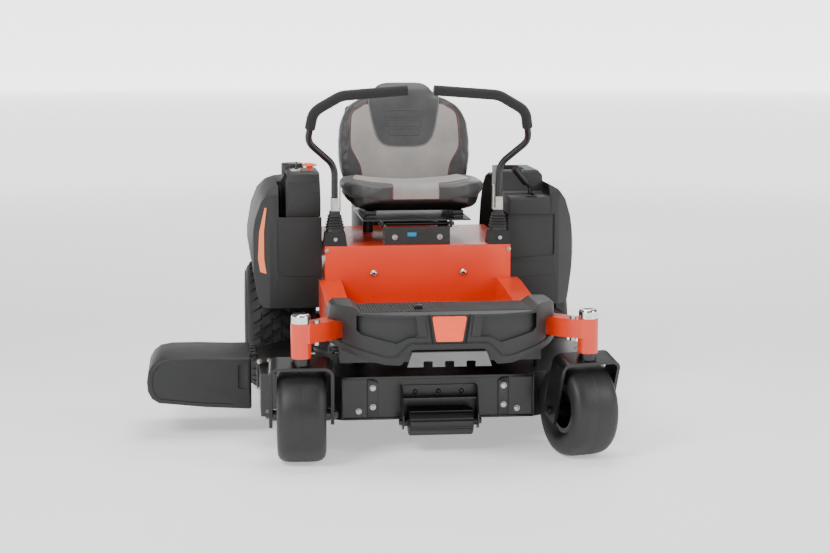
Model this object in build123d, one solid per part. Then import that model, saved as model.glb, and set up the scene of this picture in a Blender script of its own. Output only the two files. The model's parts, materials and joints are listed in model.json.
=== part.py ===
from build123d import *
import math
import os

# Zero turn mower. Millimetres, +Z up, the front faces -Y and +X is the seated driver's left.
# The model is laid out with Y measured back from the caster pivots and Z up from the ground,
# and is moved at the end so that its origin is the middle of its footprint on the ground.

# ---------------------------------------------------------------- driving sizes
wheelbase = 1145.0          # caster wheel axle to rear axle
caster_track = 840.0        # between the two caster pivots
fit = 0.05                  # radial clearance of a running fit
gap = 0.3                   # clearance between faces that only come near

# caster wheels and forks
caster_tyre_d = 280.0
caster_tyre_w = 143.0
caster_rim_r = 61.0
caster_trail = 55.0         # wheel axle behind the pivot
caster_yaw_left = 16.0      # how far each caster is turned at rest
caster_yaw_right = -3.0
fork_w = 190.0
fork_strap = 10.0
fork_depth = 70.0
fork_bend_r = 28.0
fork_top_z = 303.0
caster_axle_r = 8.0
spindle_r = 12.5
pivot_tube_r = 30.0
pivot_tube_z = (317.0, 418.0)
cap_r = 28.0
cap_h = 28.0

# rear wheels
rear_tyre_d = 457.0
rear_tyre_w = 240.0
rear_rim_r = 103.0
rear_track = 872.0
drive_shaft_r = 12.7
lug_circle_r = 57.0
lug_count = 5

# frame
rail_w = 50.0
rail_h = 50.0
rail_wall = 3.0
rail_x = 250.0              # middle of each rail
rail_z = 280.0              # underside of the rails
rail_y = (165.0, 1700.0)
front_tube_y = 105.0
arm_z = (362.0, 417.0)
sheet = 4.0                 # pressed steel sheet
hitch_hole_r = 9.5
hitch_plate = 8.0
hitch_y = 1765.0

# front bumper and footrest
bumper_half_w = 336.0
bumper_front_y = -85.0
bumper_back_y = 165.0
bumper_tread_z = 452.0
bumper_horn_z = 466.0
bumper_wall = 5.0
skid_half_w = 122.0
skid_z = (300.0, 342.0)
skid_notch_w = 27.0
skid_notch_h = 17.0

# seat pan, the folded box under the seat
pan_half_w = 304.0
pan_y = (715.0, 1315.0)
pan_top_z = 552.0

# fenders and consoles
fender_inner_x = 310.0
fender_outer_x = 541.0
fender_z = (338.0, 745.0)
fender_y = (800.0, 1490.0)
fender_wall = 4.0
arch_clear = 33.0
console_x = (313.0, 450.0)
console_bottom_z = 640.0
right_console_y = (798.0, 1000.0)
right_console_z = 788.0
left_console_y = (798.0, 1190.0)
left_console_z = (700.0, 775.0)
storage_x = (320.0, 398.0)
storage_y = (985.0, 1175.0)
storage_floor_z = 690.0

# seat
seat_hinge_y = 770.0
seat_hinge_z = 618.0
seat_hinge_pin_r = 6.0
seat_plate_z = 628.0
seat_plate_half_w = 178.0
seat_rail_x = 145.0
cushion_w = 487.0
cushion_y = (770.0, 1122.0)
cushion_z = (690.3, 746.0)
backrest_w = 450.0
seat_top_z = 1066.0

# steering levers
lever_x = 270.0
lever_y = 760.0
lever_pivot_z = 500.0
lever_pin_r = 10.0
swing_z = 690.0             # pivot that lets a lap bar swing out
swing_pin_r = 5.0
lap_bar_r = 11.0
grip_r = 17.0

# cutting deck
deck_half_w = 530.0
deck_z = (92.0, 224.0)
deck_front_y = 178.0
deck_rear_y = 885.0
blade_x = 258.0
blade_y = (480.0, 610.0)    # right blade is ahead of the left one
blade_len = 520.0
blade_w = 62.0
blade_t = 5.0
blade_z = 98.0
blade_shaft_r = 15.0
deck_pulley_r = 72.0
belt_z = 245.0
belt_t = 11.0
clutch_pulley_r = 60.0
cover_clear = 28.0          # belt cover outside its pulley
cover_top_z = 267.0        # stays under the rails when the deck is raised
discharge_y = (420.0, 690.0)
discharge_top_z = 205.0
roller_r = 41.0
roller_len = 193.0
roller_y = 125.0
roller_z = 94.0
roller_bolt_r = 6.0
chute_reach = 876.0
chute_y = (405.0, 705.0)
chute_wall = 5.0
chute_hinge_r = 5.0
chute_hinge_z = 238.0

# lift gear
lift_shaft_r = 12.7
lift_shaft_y = {"front": 225.0, "rear": 640.0}
lift_arm = 90.0
lift_arm_x = 310.0
height_lever_x = 395.0
height_lever_y = 880.0

# engine
crank_y = 1480.0
crank_r = 14.0

# ---------------------------------------------------------------- derived places
caster_x = caster_track / 2
caster_tyre_r = caster_tyre_d / 2
rear_tyre_r = rear_tyre_d / 2
rear_x = rear_track / 2
rear_y = caster_trail + wheelbase
rail_top_z = rail_z + rail_h
rail_in_x = rail_x - rail_w / 2
rail_out_x = rail_x + rail_w / 2
floor_z = rail_top_z + sheet
fork_tilt = math.degrees(math.atan(caster_trail / (fork_top_z - caster_tyre_r)))
blade_pitch_y = dict(zip((-1, 1), blade_y))
cover_r = deck_pulley_r + cover_clear
sides = ((1, "left"), (-1, "right"))


# ---------------------------------------------------------------- shape helpers
def block(x, y, z):
    """Box between a low and a high place on each axis."""
    spans = [sorted(span) for span in (x, y, z)]
    size = [high - low for low, high in spans]
    middle = [(high + low) / 2 for low, high in spans]
    return Pos(*middle) * Box(*size)


def rod(radius, start, end):
    """Round bar between two points."""
    run = Vector(*end) - Vector(*start)
    base = Plane(origin=start, z_dir=run) * Circle(radius)
    return extrude(base, amount=run.length, dir=run.normalized())


def pipe(outer, inner, start, end):
    """Round tube between two points."""
    return rod(outer, start, end) - rod(inner, start, end)


def hexagon(across, start, end):
    """Hexagon head or nut between two points."""
    run = Vector(*end) - Vector(*start)
    outline = RegularPolygon(radius=across / math.sqrt(3), side_count=6)
    base = Plane(origin=start, z_dir=run) * outline
    return extrude(base, amount=run.length, dir=run.normalized())


def prism(points, axis, low, high):
    """Closed outline carried along X, Y or Z between two places."""
    planes = {
        "x": Plane((low, 0, 0), x_dir=(0, 1, 0), z_dir=(1, 0, 0)),
        "y": Plane((0, high, 0), x_dir=(1, 0, 0), z_dir=(0, -1, 0)),
        "z": Plane((0, 0, low), x_dir=(1, 0, 0), z_dir=(0, 0, 1)),
    }
    plane = planes[axis]
    face = plane * make_face(Polyline(*points, close=True))
    return extrude(face, amount=high - low, dir=plane.z_dir)


def turned(points, place=(0, 0, 0), axis=(0, 0, 1)):
    """Solid of revolution from (radius, distance along the axis) points."""
    face = make_face(Polyline(*[(r, 0, h) for r, h in points], close=True))
    return Plane(origin=place, z_dir=axis).location * revolve(face, Axis.Z, 360)


def mirrored(points):
    """Half outline given from the middle outwards, closed by its mirror image in X."""
    return list(points) + [(-x, z) for x, z in reversed(points) if x > 0]


def bent_bar(points, radii, section_r):
    """Round bar along straight runs joined by tangent arcs."""
    path = FilletPolyline(*points, radius=radii)
    start = Plane(origin=path @ 0, z_dir=path % 0)
    return sweep(start * Circle(section_r), path=path)


def both(shape):
    """A shape and its mirror image in X."""
    return [shape, mirror(shape, about=Plane.YZ)]


nodes = {}


def keep(name, *shapes):
    """File shapes under a node, as separate solids."""
    for shape in shapes:
        nodes.setdefault(name, []).extend(shape.solids())


# ---------------------------------------------------------------- frame
def frame():
    """Two box rails, three cross members, the engine plate and the hitch plate."""
    for side, _ in sides:
        rail = block((side * rail_in_x, side * rail_out_x), rail_y, (rail_z, rail_top_z))
        rail -= block((side * (rail_in_x + rail_wall), side * (rail_out_x - rail_wall)), rail_y,
                      (rail_z + rail_wall, rail_top_z - rail_wall))
        for y in lift_shaft_y.values():
            rail -= rod(lift_shaft_r + fit, (side * 200, y, rail_z + rail_h / 2),
                        (side * 300, y, rail_z + rail_h / 2))
        keep("frame_rails", rail)
    front = block((-300, 300), (front_tube_y, rail_y[0]), (rail_z, arm_z[1]))
    front -= block((-296, 296), (front_tube_y + sheet, rail_y[0] - sheet), (rail_z + sheet, arm_z[1] - sheet))
    keep("frame_rails", front)
    for y in (690.0, 1325.0, 1650.0):
        cross = block((-rail_in_x, rail_in_x), (y, y + rail_w), (rail_z, rail_top_z))
        cross -= block((-rail_in_x, rail_in_x), (y + rail_wall, y + rail_w - rail_wall),
                       (rail_z + rail_wall, rail_top_z - rail_wall))
        keep("frame_rails", cross)
    engine_plate = block((-rail_out_x, rail_out_x), (1325, rail_y[1]), (rail_top_z, rail_top_z + 5))
    engine_plate -= rod(crank_r + 20, (0, crank_y, rail_z), (0, crank_y, rail_top_z + 10))
    hitch = prism([(-60, rail_y[1]), (60, rail_y[1]), (30, hitch_y + 25), (-30, hitch_y + 25)],
                  "z", rail_z + 20, rail_z + 20 + hitch_plate)
    hitch -= rod(hitch_hole_r, (0, hitch_y, rail_z), (0, hitch_y, rail_top_z))
    keep("frame_rails", engine_plate, hitch)


def floor_pan():
    """Pressed floor under the driver's feet, and the tray that holds the battery."""
    footwell = block((-325, 325), (rail_y[0], pan_y[0]), (rail_top_z, floor_z))
    tray = block((-rail_in_x, rail_in_x), (pan_y[0], 1100), (rail_top_z, floor_z))
    pan = footwell + tray
    for step in range(9):
        y = 230 + 50 * step
        pan += block((-200, 200), (y, y + 12), (floor_z, floor_z + 3))
    keep("floor_pan", pan)


def caster_arms():
    """Box arm from the front tube out to each upright pivot tube."""
    outline = [(420, -26), (396, -26), (262, front_tube_y - 16), (262, front_tube_y),
               (300, front_tube_y), (300, 140), (318, 140), (425, 28)]
    arm = prism(outline, "z", *arm_z) + rod(pivot_tube_r, (caster_x, 0, pivot_tube_z[0]),
                                            (caster_x, 0, pivot_tube_z[1]))
    arm -= rod(spindle_r + fit, (caster_x, 0, pivot_tube_z[0]), (caster_x, 0, pivot_tube_z[1]))
    keep("caster_arms", *both(arm))
    cap = rod(cap_r, (caster_x, 0, pivot_tube_z[1]), (caster_x, 0, pivot_tube_z[1] + cap_h))
    cap = fillet(cap.edges().sort_by(Axis.Z)[-1], cap_r / 3)
    cap -= rod(cap_r - 3, (caster_x, 0, pivot_tube_z[1]), (caster_x, 0, pivot_tube_z[1] + cap_h - 8))
    keep("caster_caps", *both(cap))


def seat_pan():
    """Folded steel box: front panel, top, and side cheeks beside the rear wheels."""
    pan = block((-pan_half_w, pan_half_w), (pan_y[0], pan_y[0] + sheet), (floor_z, pan_top_z))
    pan += block((-pan_half_w, pan_half_w), pan_y, (pan_top_z - sheet, pan_top_z))
    pan += block((-pan_half_w, pan_half_w), (pan_y[1] - sheet, pan_y[1]), (pan_top_z - 90, pan_top_z))
    for side, _ in sides:
        cheek = [(pan_y[0], floor_z), (790, floor_z), (880, 430), (pan_y[1], 430),
                 (pan_y[1], pan_top_z), (pan_y[0], pan_top_z)]
        edge = sorted((side * pan_half_w, side * (pan_half_w - sheet)))
        pan += prism(cheek, "x", *edge)
        pan -= block((side * (lever_x - 16), side * (lever_x + 16)), (lever_y - 34, lever_y + 36),
                     (pan_top_z - 20, pan_top_z + 1))
    keep("seat_pan", pan)


def side_brackets():
    """Folded channel from each side of the seat pan forward to the front tube."""
    inner, outer = 255.0, 326.0
    side_view = [(rail_y[0], floor_z), (rail_y[0], 404), (640, 444), (pan_y[0], 444), (pan_y[0], floor_z)]
    hollow = [(rail_y[0] - 1, floor_z - 1), (rail_y[0] - 1, 404 - sheet), (640, 444 - sheet),
              (pan_y[0] + 1, 444 - sheet), (pan_y[0] + 1, floor_z - 1)]
    bracket = prism(side_view, "x", inner, outer)
    bracket -= prism(hollow, "x", inner + sheet, outer - sheet)
    keep("side_brackets", *both(bracket))


# ---------------------------------------------------------------- front bumper
def front_bumper():
    """Moulded bumper shell with a ribbed foot tread, open at the back and underneath."""
    front_view = mirrored([(0, bumper_tread_z), (250, bumper_tread_z), (272, bumper_horn_z),
                           (322, bumper_horn_z), (bumper_half_w, 440), (bumper_half_w, 345),
                           (300, 333), (180, 306), (132, 306), (108, 346), (0, 346)])
    plan = mirrored([(0, bumper_front_y), (150, bumper_front_y), (262, -28), (bumper_half_w, 92),
                     (bumper_half_w, bumper_back_y), (0, bumper_back_y)])
    inner_view = mirrored([(0, bumper_tread_z - bumper_wall), (250, bumper_tread_z - bumper_wall),
                           (272, bumper_horn_z - bumper_wall), (318, bumper_horn_z - bumper_wall),
                           (bumper_half_w - bumper_wall, 436), (bumper_half_w - bumper_wall, 300),
                           (0, 300)])
    inner_plan = mirrored([(0, bumper_front_y + bumper_wall), (148, bumper_front_y + bumper_wall),
                           (258, -24), (bumper_half_w - bumper_wall, 95),
                           (bumper_half_w - bumper_wall, bumper_back_y + 1), (0, bumper_back_y + 1)])
    shell = prism(front_view, "y", -100, 200) & prism(plan, "z", 290, 480)
    shell -= prism(inner_view, "y", -100, 200) & prism(inner_plan, "z", 280, 480)
    arm_room = prism([(250, 60), (345, -50), (345, 60), (335, 170), (250, 170)], "z",
                     arm_z[0] - gap, arm_z[1] + gap)
    for side in (arm_room, mirror(arm_room, about=Plane.YZ)):
        shell -= side
    for count in range(25):
        x = (count - 12) * 20
        shell += block((x - 6, x + 6), (-24, bumper_back_y - 10),
                       (bumper_tread_z - 0.5, bumper_tread_z + 2.5))
    keep("front_bumper", shell)
    badge = prism(mirrored([(0, 445), (50, 445), (38, 372), (0, 372)]), "y",
                  bumper_front_y - 5, bumper_front_y)
    badge = fillet(badge.edges().filter_by(Axis.Y), 6)
    keep("bumper_badge", badge)
    plate = mirrored([(0, skid_z[1]), (107, skid_z[1]), (skid_half_w, skid_z[0]), (0, skid_z[0])])
    skid = prism(plate, "y", bumper_front_y - 8, bumper_front_y - 2)
    skid += prism(mirrored([(0, skid_z[1]), (107, skid_z[1]), (107, skid_z[1] - 6), (0, skid_z[1] - 6)]),
                  "y", bumper_front_y - 8, front_tube_y)
    for count in (-1, 0, 1):
        notch = block((count * 62 - skid_notch_w / 2, count * 62 + skid_notch_w / 2), (-120, -50),
                      (skid_z[0] - 1, skid_z[0] + skid_notch_h))
        skid -= fillet(notch.edges().filter_by(Axis.Y), 4)
    keep("skid_plate", skid)


# ---------------------------------------------------------------- fenders and consoles
def fender_outlines(wall):
    """Front and side outlines of a fender, drawn in by a wall thickness."""
    x0, x1 = fender_inner_x, fender_outer_x - wall
    z0, z1 = fender_z[0], fender_z[1] - wall
    y0, y1 = fender_y[0] + wall, fender_y[1] - wall
    front = [(x0, z0), (x1 - 22, z0), (x1, 520), (x1 - 16, 630), (x1 - 46, 705), (x1 - 80, z1), (x0, z1)]
    side = [(y0 + 5, z0), (y0, 520), (y0 + 8, 690), (y0 + 26, z1), (1250, z1), (1385 - wall, 700 - wall),
            (y1 - 25, 600), (y1, 500), (y1, 430), (1300, 430), (1300, z0)]
    return front, side


def fenders():
    """Moulded covers over the rear wheels, hollow underneath and towards the middle."""
    for side, name in sides:
        front, profile = fender_outlines(0)
        shell = prism(front, "y", 700, 1600) & prism(profile, "x", 300, 600)
        front, profile = fender_outlines(fender_wall)
        front = [(x - 1 if x == fender_inner_x else x, z) for x, z in front]
        profile = [(y, z - 1 if z in (fender_z[0], 430) else z) for y, z in profile]
        shell -= prism(front, "y", 700, 1600) & prism(profile, "x", 300, 600)
        arch_r = rear_tyre_r + arch_clear
        shell -= rod(arch_r, (300, rear_y, rear_tyre_r), (600, rear_y, rear_tyre_r))
        console_y = left_console_y if side > 0 else right_console_y
        low = console_bottom_z - gap
        shell -= block((fender_inner_x - 1, console_x[1] + gap), (700, console_y[1] + gap), (low, 900))
        if side < 0:
            shell -= rod(32, (394, 1040, 700), (394, 1040, 800))
        if side < 0:
            shell = mirror(shell, about=Plane.YZ)
        keep("fender_" + name, max(shell.solids(), key=lambda piece: piece.volume))


def right_console():
    """Control box on the driver's right: key switch and blade knob on its top."""
    x, y = (-console_x[1], -console_x[0]), right_console_y
    shape = block(x, y, (console_bottom_z, right_console_z))
    shape = fillet(shape.edges().filter_by(Axis.Y).group_by(Axis.Z)[-1], 14)
    hollow = block((x[0] + sheet, x[1] - sheet), (y[0] + sheet, y[1] - sheet),
                   (console_bottom_z - 1, right_console_z - sheet))
    shape -= hollow
    shape -= rod(14, (-389, 855, 700), (-389, 855, 800))
    shape -= rod(5 + fit, (-346, 850, 700), (-346, 850, 800))
    keep("console_right", shape)


def left_console():
    """Control box on the driver's left: storage box, and the slot of the height lever."""
    low_z, high_z = left_console_z
    side_view = [(left_console_y[0], console_bottom_z), (left_console_y[0], low_z - 8),
                 (left_console_y[0] + 8, low_z), (935, low_z), (960, high_z),
                 (left_console_y[1], high_z), (left_console_y[1], console_bottom_z)]
    hollow = [(left_console_y[0] + sheet, console_bottom_z - 1),
              (left_console_y[0] + sheet, low_z - sheet), (938, low_z - sheet), (963, high_z - sheet),
              (left_console_y[1] - sheet, high_z - sheet), (left_console_y[1] - sheet, console_bottom_z - 1)]
    shape = prism(side_view, "x", *console_x)
    shape -= prism(hollow, "x", console_x[0] + sheet, console_x[1] - sheet)
    tub = block((storage_x[0] - 3, storage_x[1] + 3), (storage_y[0] - 3, storage_y[1] + 3),
                (storage_floor_z - 3, high_z))
    shape += tub
    shape -= block(storage_x, storage_y, (storage_floor_z, high_z + 1))
    shape -= block((height_lever_x - 9, height_lever_x + 9),
                   (height_lever_y - 72, height_lever_y + 32), (low_z - 20, low_z + 1))
    keep("console_left", shape)


def fuel_tank():
    """Moulded tank inside the right fender, its neck and the screw cap."""
    x, y = -394.0, 1040.0
    tank = block((-470, -pan_half_w - gap), (1010, 1180), (505, 715))
    tank = fillet(tank.edges().filter_by(Axis.Z), 20)
    tank += rod(26, (x, y, 710), (x, y, 776))
    keep("fuel_tank", tank)
    cap = rod(38, (x, y, 752), (x, y, 800))
    cap = fillet(cap.edges().sort_by(Axis.Z)[-1], 5)
    cap -= rod(26 + gap, (x, y, 751), (x, y, 776 + gap))
    for count in range(12):
        angle = math.radians(30 * count)
        cap -= rod(3, (x + 39 * math.cos(angle), y + 39 * math.sin(angle), 751),
                   (x + 39 * math.cos(angle), y + 39 * math.sin(angle), 790))
    keep("fuel_cap", cap)


def hand_controls():
    """Key switch, key, blade knob and the deck height lever."""
    x, y, top = -389.0, 855.0, right_console_z
    switch = rod(13.7, (x, y, top - 24), (x, y, top)) + rod(18, (x, y, top), (x, y, top + 6))
    switch -= rod(6 + fit, (x, y, top - 14), (x, y, top + 7))
    keep("chassis_fasteners", switch)
    key = rod(6, (x, y, top - 14), (x, y, top + 10))
    key += block((x - 2, x + 2), (y - 11, y + 11), (top + 8, top + 30))
    keep("ignition_key", key)
    x, y = -346.0, 850.0
    knob = rod(5, (x, y, top - 40), (x, y, top + 14))
    knob += turned([(0, 8), (9, 8), (12, 14), (24, 17), (24, 22), (14, 26), (0, 26)], (x, y, top))
    keep("pto_knob", knob)
    x, y = height_lever_x, height_lever_y
    hub = pipe(17, 8 + fit, (x - 7, y, lever_pivot_z), (x + 7, y, lever_pivot_z))
    hub += rod(6, (x, y, lever_pivot_z + 14), (x, y, left_console_z[0] + 25))
    bend = (x, y, left_console_z[0] + 24)
    tip = (x - 42, y - 18, left_console_z[0] + 74)
    hub += rod(6, bend, tip) + Pos(*bend) * Sphere(6)
    run = Vector(*tip) - Vector(*bend)
    grip_start = Vector(*bend) + run * 0.3
    grip_end = Vector(*bend) + run * 1.35
    hub += rod(13, tuple(grip_start), tuple(grip_end))
    keep("height_lever", hub)


def lever_pivots_and_bolts():
    """Pivot pins of the hand levers, and the frame's visible bolts and grease nipples."""
    inner = pan_half_w - sheet
    for side, _ in sides:
        keep("chassis_fasteners", rod(lever_pin_r, (side * inner, lever_y, lever_pivot_z),
                                      (side * (lever_x - 15), lever_y, lever_pivot_z)))
        keep("chassis_fasteners", hexagon(17, (side * 375, 4, arm_z[1]), (side * 375, 4, arm_z[1] + 8)))
        keep("chassis_fasteners", hexagon(17, (side * 375, 4, arm_z[0] - 9), (side * 375, 4, arm_z[0])))
        keep("chassis_fasteners", rod(4, (side * (caster_x - pivot_tube_r - 0.05), 0, 330),
                                      (side * (caster_x - pivot_tube_r - 10), 0, 330)))
        head = rod(11, (side * 148, pan_y[0], 462), (side * 148, pan_y[0] - 5, 462))
        keep("chassis_fasteners", fillet(head.edges().sort_by(Axis.Y)[0], 4))
    keep("chassis_fasteners", rod(8, (pan_half_w, height_lever_y, lever_pivot_z),
                                  (height_lever_x + 10, height_lever_y, lever_pivot_z)))


def battery():
    """Lead battery on its tray, with two posts."""
    case = block((-98, 98), (900, 1030), (floor_z, floor_z + 165))
    case += block((-92, 92), (906, 1024), (floor_z + 165, floor_z + 178))
    for side, _ in sides:
        case += block((side * 70, side * 86), (912, 926), (floor_z + 170, floor_z + 194))
    keep("battery", case)


# ---------------------------------------------------------------- seat
def seat_hinge():
    """Bracket on the seat pan that carries the seat plate's hinge pin, and two rear stops."""
    y, z = seat_hinge_y, seat_hinge_z
    bracket = block((-108, 108), (745, 749), (pan_top_z, z - 8))
    bracket += block((-108, 108), (745, 815), (pan_top_z, pan_top_z + sheet))
    for side, _ in sides:
        ear = [(745, pan_top_z), (815, pan_top_z), (y + 7, z + 6), (y - 7, z + 6), (745, z - 8)]
        bracket += prism(ear, "x", *sorted((side * 108, side * 104)))
        keep("seat_hinge", hexagon(13, (side * 70, 782, pan_top_z + sheet), (side * 70, 782, pan_top_z + 11)))
        keep("seat_hinge", rod(18, (side * 130, 1130, pan_top_z), (side * 130, 1130, seat_plate_z - gap)))
    bracket += rod(seat_hinge_pin_r, (-124, y, z), (124, y, z))
    keep("seat_hinge", bracket)


def seat_plate():
    """Tilting steel plate with the fixed half of the seat slides."""
    y, z, r = seat_hinge_y, seat_hinge_z, seat_hinge_pin_r
    plate = block((-seat_plate_half_w, seat_plate_half_w), (y - 15, 1160), (seat_plate_z, seat_plate_z + 5))
    for side, _ in sides:
        ear = prism([(y - 15, seat_plate_z + 1), (y - 15, z - 4), (y - 6, z - 14), (y + 6, z - 14),
                     (y + 30, seat_plate_z + 1)], "x", *sorted((side * 111, side * 117)))
        plate += ear
        plate += block((side * (seat_rail_x - 14), side * (seat_rail_x + 14)), (800, 1120),
                       (seat_plate_z + 4, seat_plate_z + 14))
    plate -= rod(r + fit, (-130, y, z), (130, y, z))
    keep("seat_plate", plate)


def seat():
    """Sliding seat shell, its cushion and its backrest."""
    rail_top = seat_plate_z + 14
    side_view = [(790, 690), (796, 668), (840, 652), (1180, 652), (1240, 700), (1288, 1020),
                 (1278, 1042), (1266, 1042), (1222, 760), (1200, 690)]
    shell = prism(side_view, "x", -cushion_w / 2 + 22, cushion_w / 2 - 22)
    plan = mirrored([(0, 780), (150, 780), (222, 840), (222, 1300), (0, 1300)])
    shell &= prism(plan, "z", 600, 1100)
    front_view = mirrored([(0, 648), (150, 648), (222, 692), (222, 900), (150, 1045), (0, 1045)])
    shell &= prism(front_view, "y", 700, 1400)
    for side, _ in sides:
        rail = block((side * (seat_rail_x - 17), side * (seat_rail_x + 17)), (820, 1140),
                     (seat_plate_z + 8, 654))
        rail -= block((side * (seat_rail_x - 14.5), side * (seat_rail_x + 14.5)), (810, 1150),
                      (seat_plate_z, rail_top + 0.5))
        shell += rail
    keep("seat_base", shell)
    half = cushion_w / 2
    pad = prism(mirrored([(0, cushion_y[0]), (150, cushion_y[0]), (half - 40, cushion_y[0] + 30),
                          (half, cushion_y[0] + 110), (half, cushion_y[1] - 60), (half - 20, cushion_y[1]),
                          (0, cushion_y[1])]), "z", cushion_z[0], cushion_z[1])
    pad = fillet(pad.edges().group_by(Axis.Z)[-1], 16)
    keep("seat_cushion", pad)
    half = backrest_w / 2
    face = mirrored([(0, cushion_z[0]), (half - 30, cushion_z[0]), (half, 760), (half - 4, 930),
                     (half - 30, 985), (half - 90, 1020), (105, 1052), (75, seat_top_z), (0, seat_top_z)])
    lean = [(1124, cushion_z[0]), (1199.6, cushion_z[0]), (1221.6, 760), (1265.6, 1042), (1266, seat_top_z),
            (1200, seat_top_z), (1172, 1040)]
    keep("seat_backrest", prism(face, "y", 1000, 1400) & prism(lean, "x", -300, 300))


# ---------------------------------------------------------------- steering levers
def steering_levers():
    """On each side a lower arm on its pivot pin, and the lap bar that swings out on it."""
    x, y = lever_x, lever_y
    for side, name in sides:
        arm = pipe(19, lever_pin_r + fit, (x - 12, y, lever_pivot_z), (x + 12, y, lever_pivot_z))
        arm += rod(9, (x, y, lever_pivot_z + 16), (x, y, swing_z - 22))
        arm += block((x - 12, x + 12), (y - 18, y + 18), (swing_z - 26, swing_z - 20))
        for offset in (-18, 14):
            arm += block((x - 12, x + 12), (y + offset, y + offset + 4), (swing_z - 26, swing_z + 16))
        arm += rod(swing_pin_r, (x, y - 18, swing_z), (x, y + 18, swing_z))
        adjuster = [(y - 15, swing_z - 24), (y + 15, swing_z - 24),
                    (y + 9, swing_z + 54), (y - 9, swing_z + 54)]
        strap = prism(adjuster, "x", x - 20, x - 16) + block((x - 20, x - 8), (y - 18, y + 18),
                                                             (swing_z - 26, swing_z - 20))
        arm += strap
        points = [(x, y, swing_z - 13), (x, y - 12, 812), (360, 705, 893), (343, 668, 990),
                  (254, 655, 1042), (46, 650, 1058)]
        radii = [70, 50, 55, 80]
        bar = bent_bar(points, radii, lap_bar_r)
        bar -= rod(swing_pin_r + fit, (x, y - 30, swing_z), (x, y + 30, swing_z))
        low, high = Vector(*points[2]), Vector(*points[3])
        start = low + (high - low) * 0.45
        end = Vector(*points[5]) + (Vector(*points[5]) - Vector(*points[4])).normalized() * 4
        grip_points = [tuple(start), points[3], points[4], tuple(end)]
        grip = bent_bar(grip_points, radii[2:], grip_r) - bent_bar(points[2:], radii[2:], lap_bar_r + 0.1)
        if side < 0:
            arm, bar, grip = [mirror(piece, about=Plane.YZ) for piece in (arm, bar, grip)]
        keep("control_arm_" + name, arm)
        keep("lap_bar_" + name, bar)
        keep("grip_" + name, grip)


def lever_boots():
    """Ribbed rubber boot around each lower arm, on a moulded base on the seat pan."""
    x, y, z = lever_x, lever_y, pan_top_z
    base = prism([(-38, z), (38, z), (37, z + 10), (32, z + 44), (-32, z + 44), (-37, z + 10)],
                 "y", y - 40, y + 42)
    base &= prism([(y - 40, z), (y + 42, z), (y + 40, z + 10), (y + 34, z + 44), (y - 32, z + 44),
                   (y - 38, z + 10)], "x", -60, 60)
    base = Pos(x, 0, 0) * base
    base -= block((x - 27, x + 27), (y - 30, y + 32), (z - 1, z + 50))
    base -= rod(6, (x, y - 50, z + 22), (x, y - 20, z + 22))
    for side, name in sides:
        keep("boot_bases", base if side > 0 else mirror(base, about=Plane.YZ))
        keep("chassis_fasteners", rod(6, (side * x, y - 42, z + 22), (side * x, y - 32, z + 22)))
        points = [(10.2, z + 112), (14, z + 112), (17, z + 108)]
        for fold in range(5):
            outer = 21 + 2.2 * fold
            top = z + 104 - 12 * fold
            points += [(outer, top), (outer - 5, top - 6)]
        points += [(30, z + 44), (26, z + 44), (22, z + 50), (12, z + 100)]
        keep("boot_" + name, turned(points, (side * x, y, 0)))


# ---------------------------------------------------------------- wheels
def tyre_section(outer_r, half_w, bead_r, bead_half, wall):
    """Hollow tyre outline with rounded shoulders, as (radius, distance along the axle)."""
    height = outer_r - bead_r
    outside = [(bead_r + 0.3, bead_half), (bead_r + height * 0.16, bead_half + 1),
               (bead_r + height * 0.27, half_w * 0.9), (bead_r + height * 0.48, half_w),
               (bead_r + height * 0.72, half_w * 0.985), (bead_r + height * 0.9, half_w * 0.86),
               (outer_r, half_w * 0.62)]
    inside = [(outer_r - wall, half_w * 0.58), (bead_r + height * 0.6, half_w - wall),
              (bead_r + height * 0.3, half_w - wall * 1.6), (bead_r + 0.3, bead_half - wall * 1.4)]
    outline = outside + [(r, -h) for r, h in reversed(outside)]
    return outline + [(r, -h) for r, h in reversed(inside)] + inside


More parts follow.
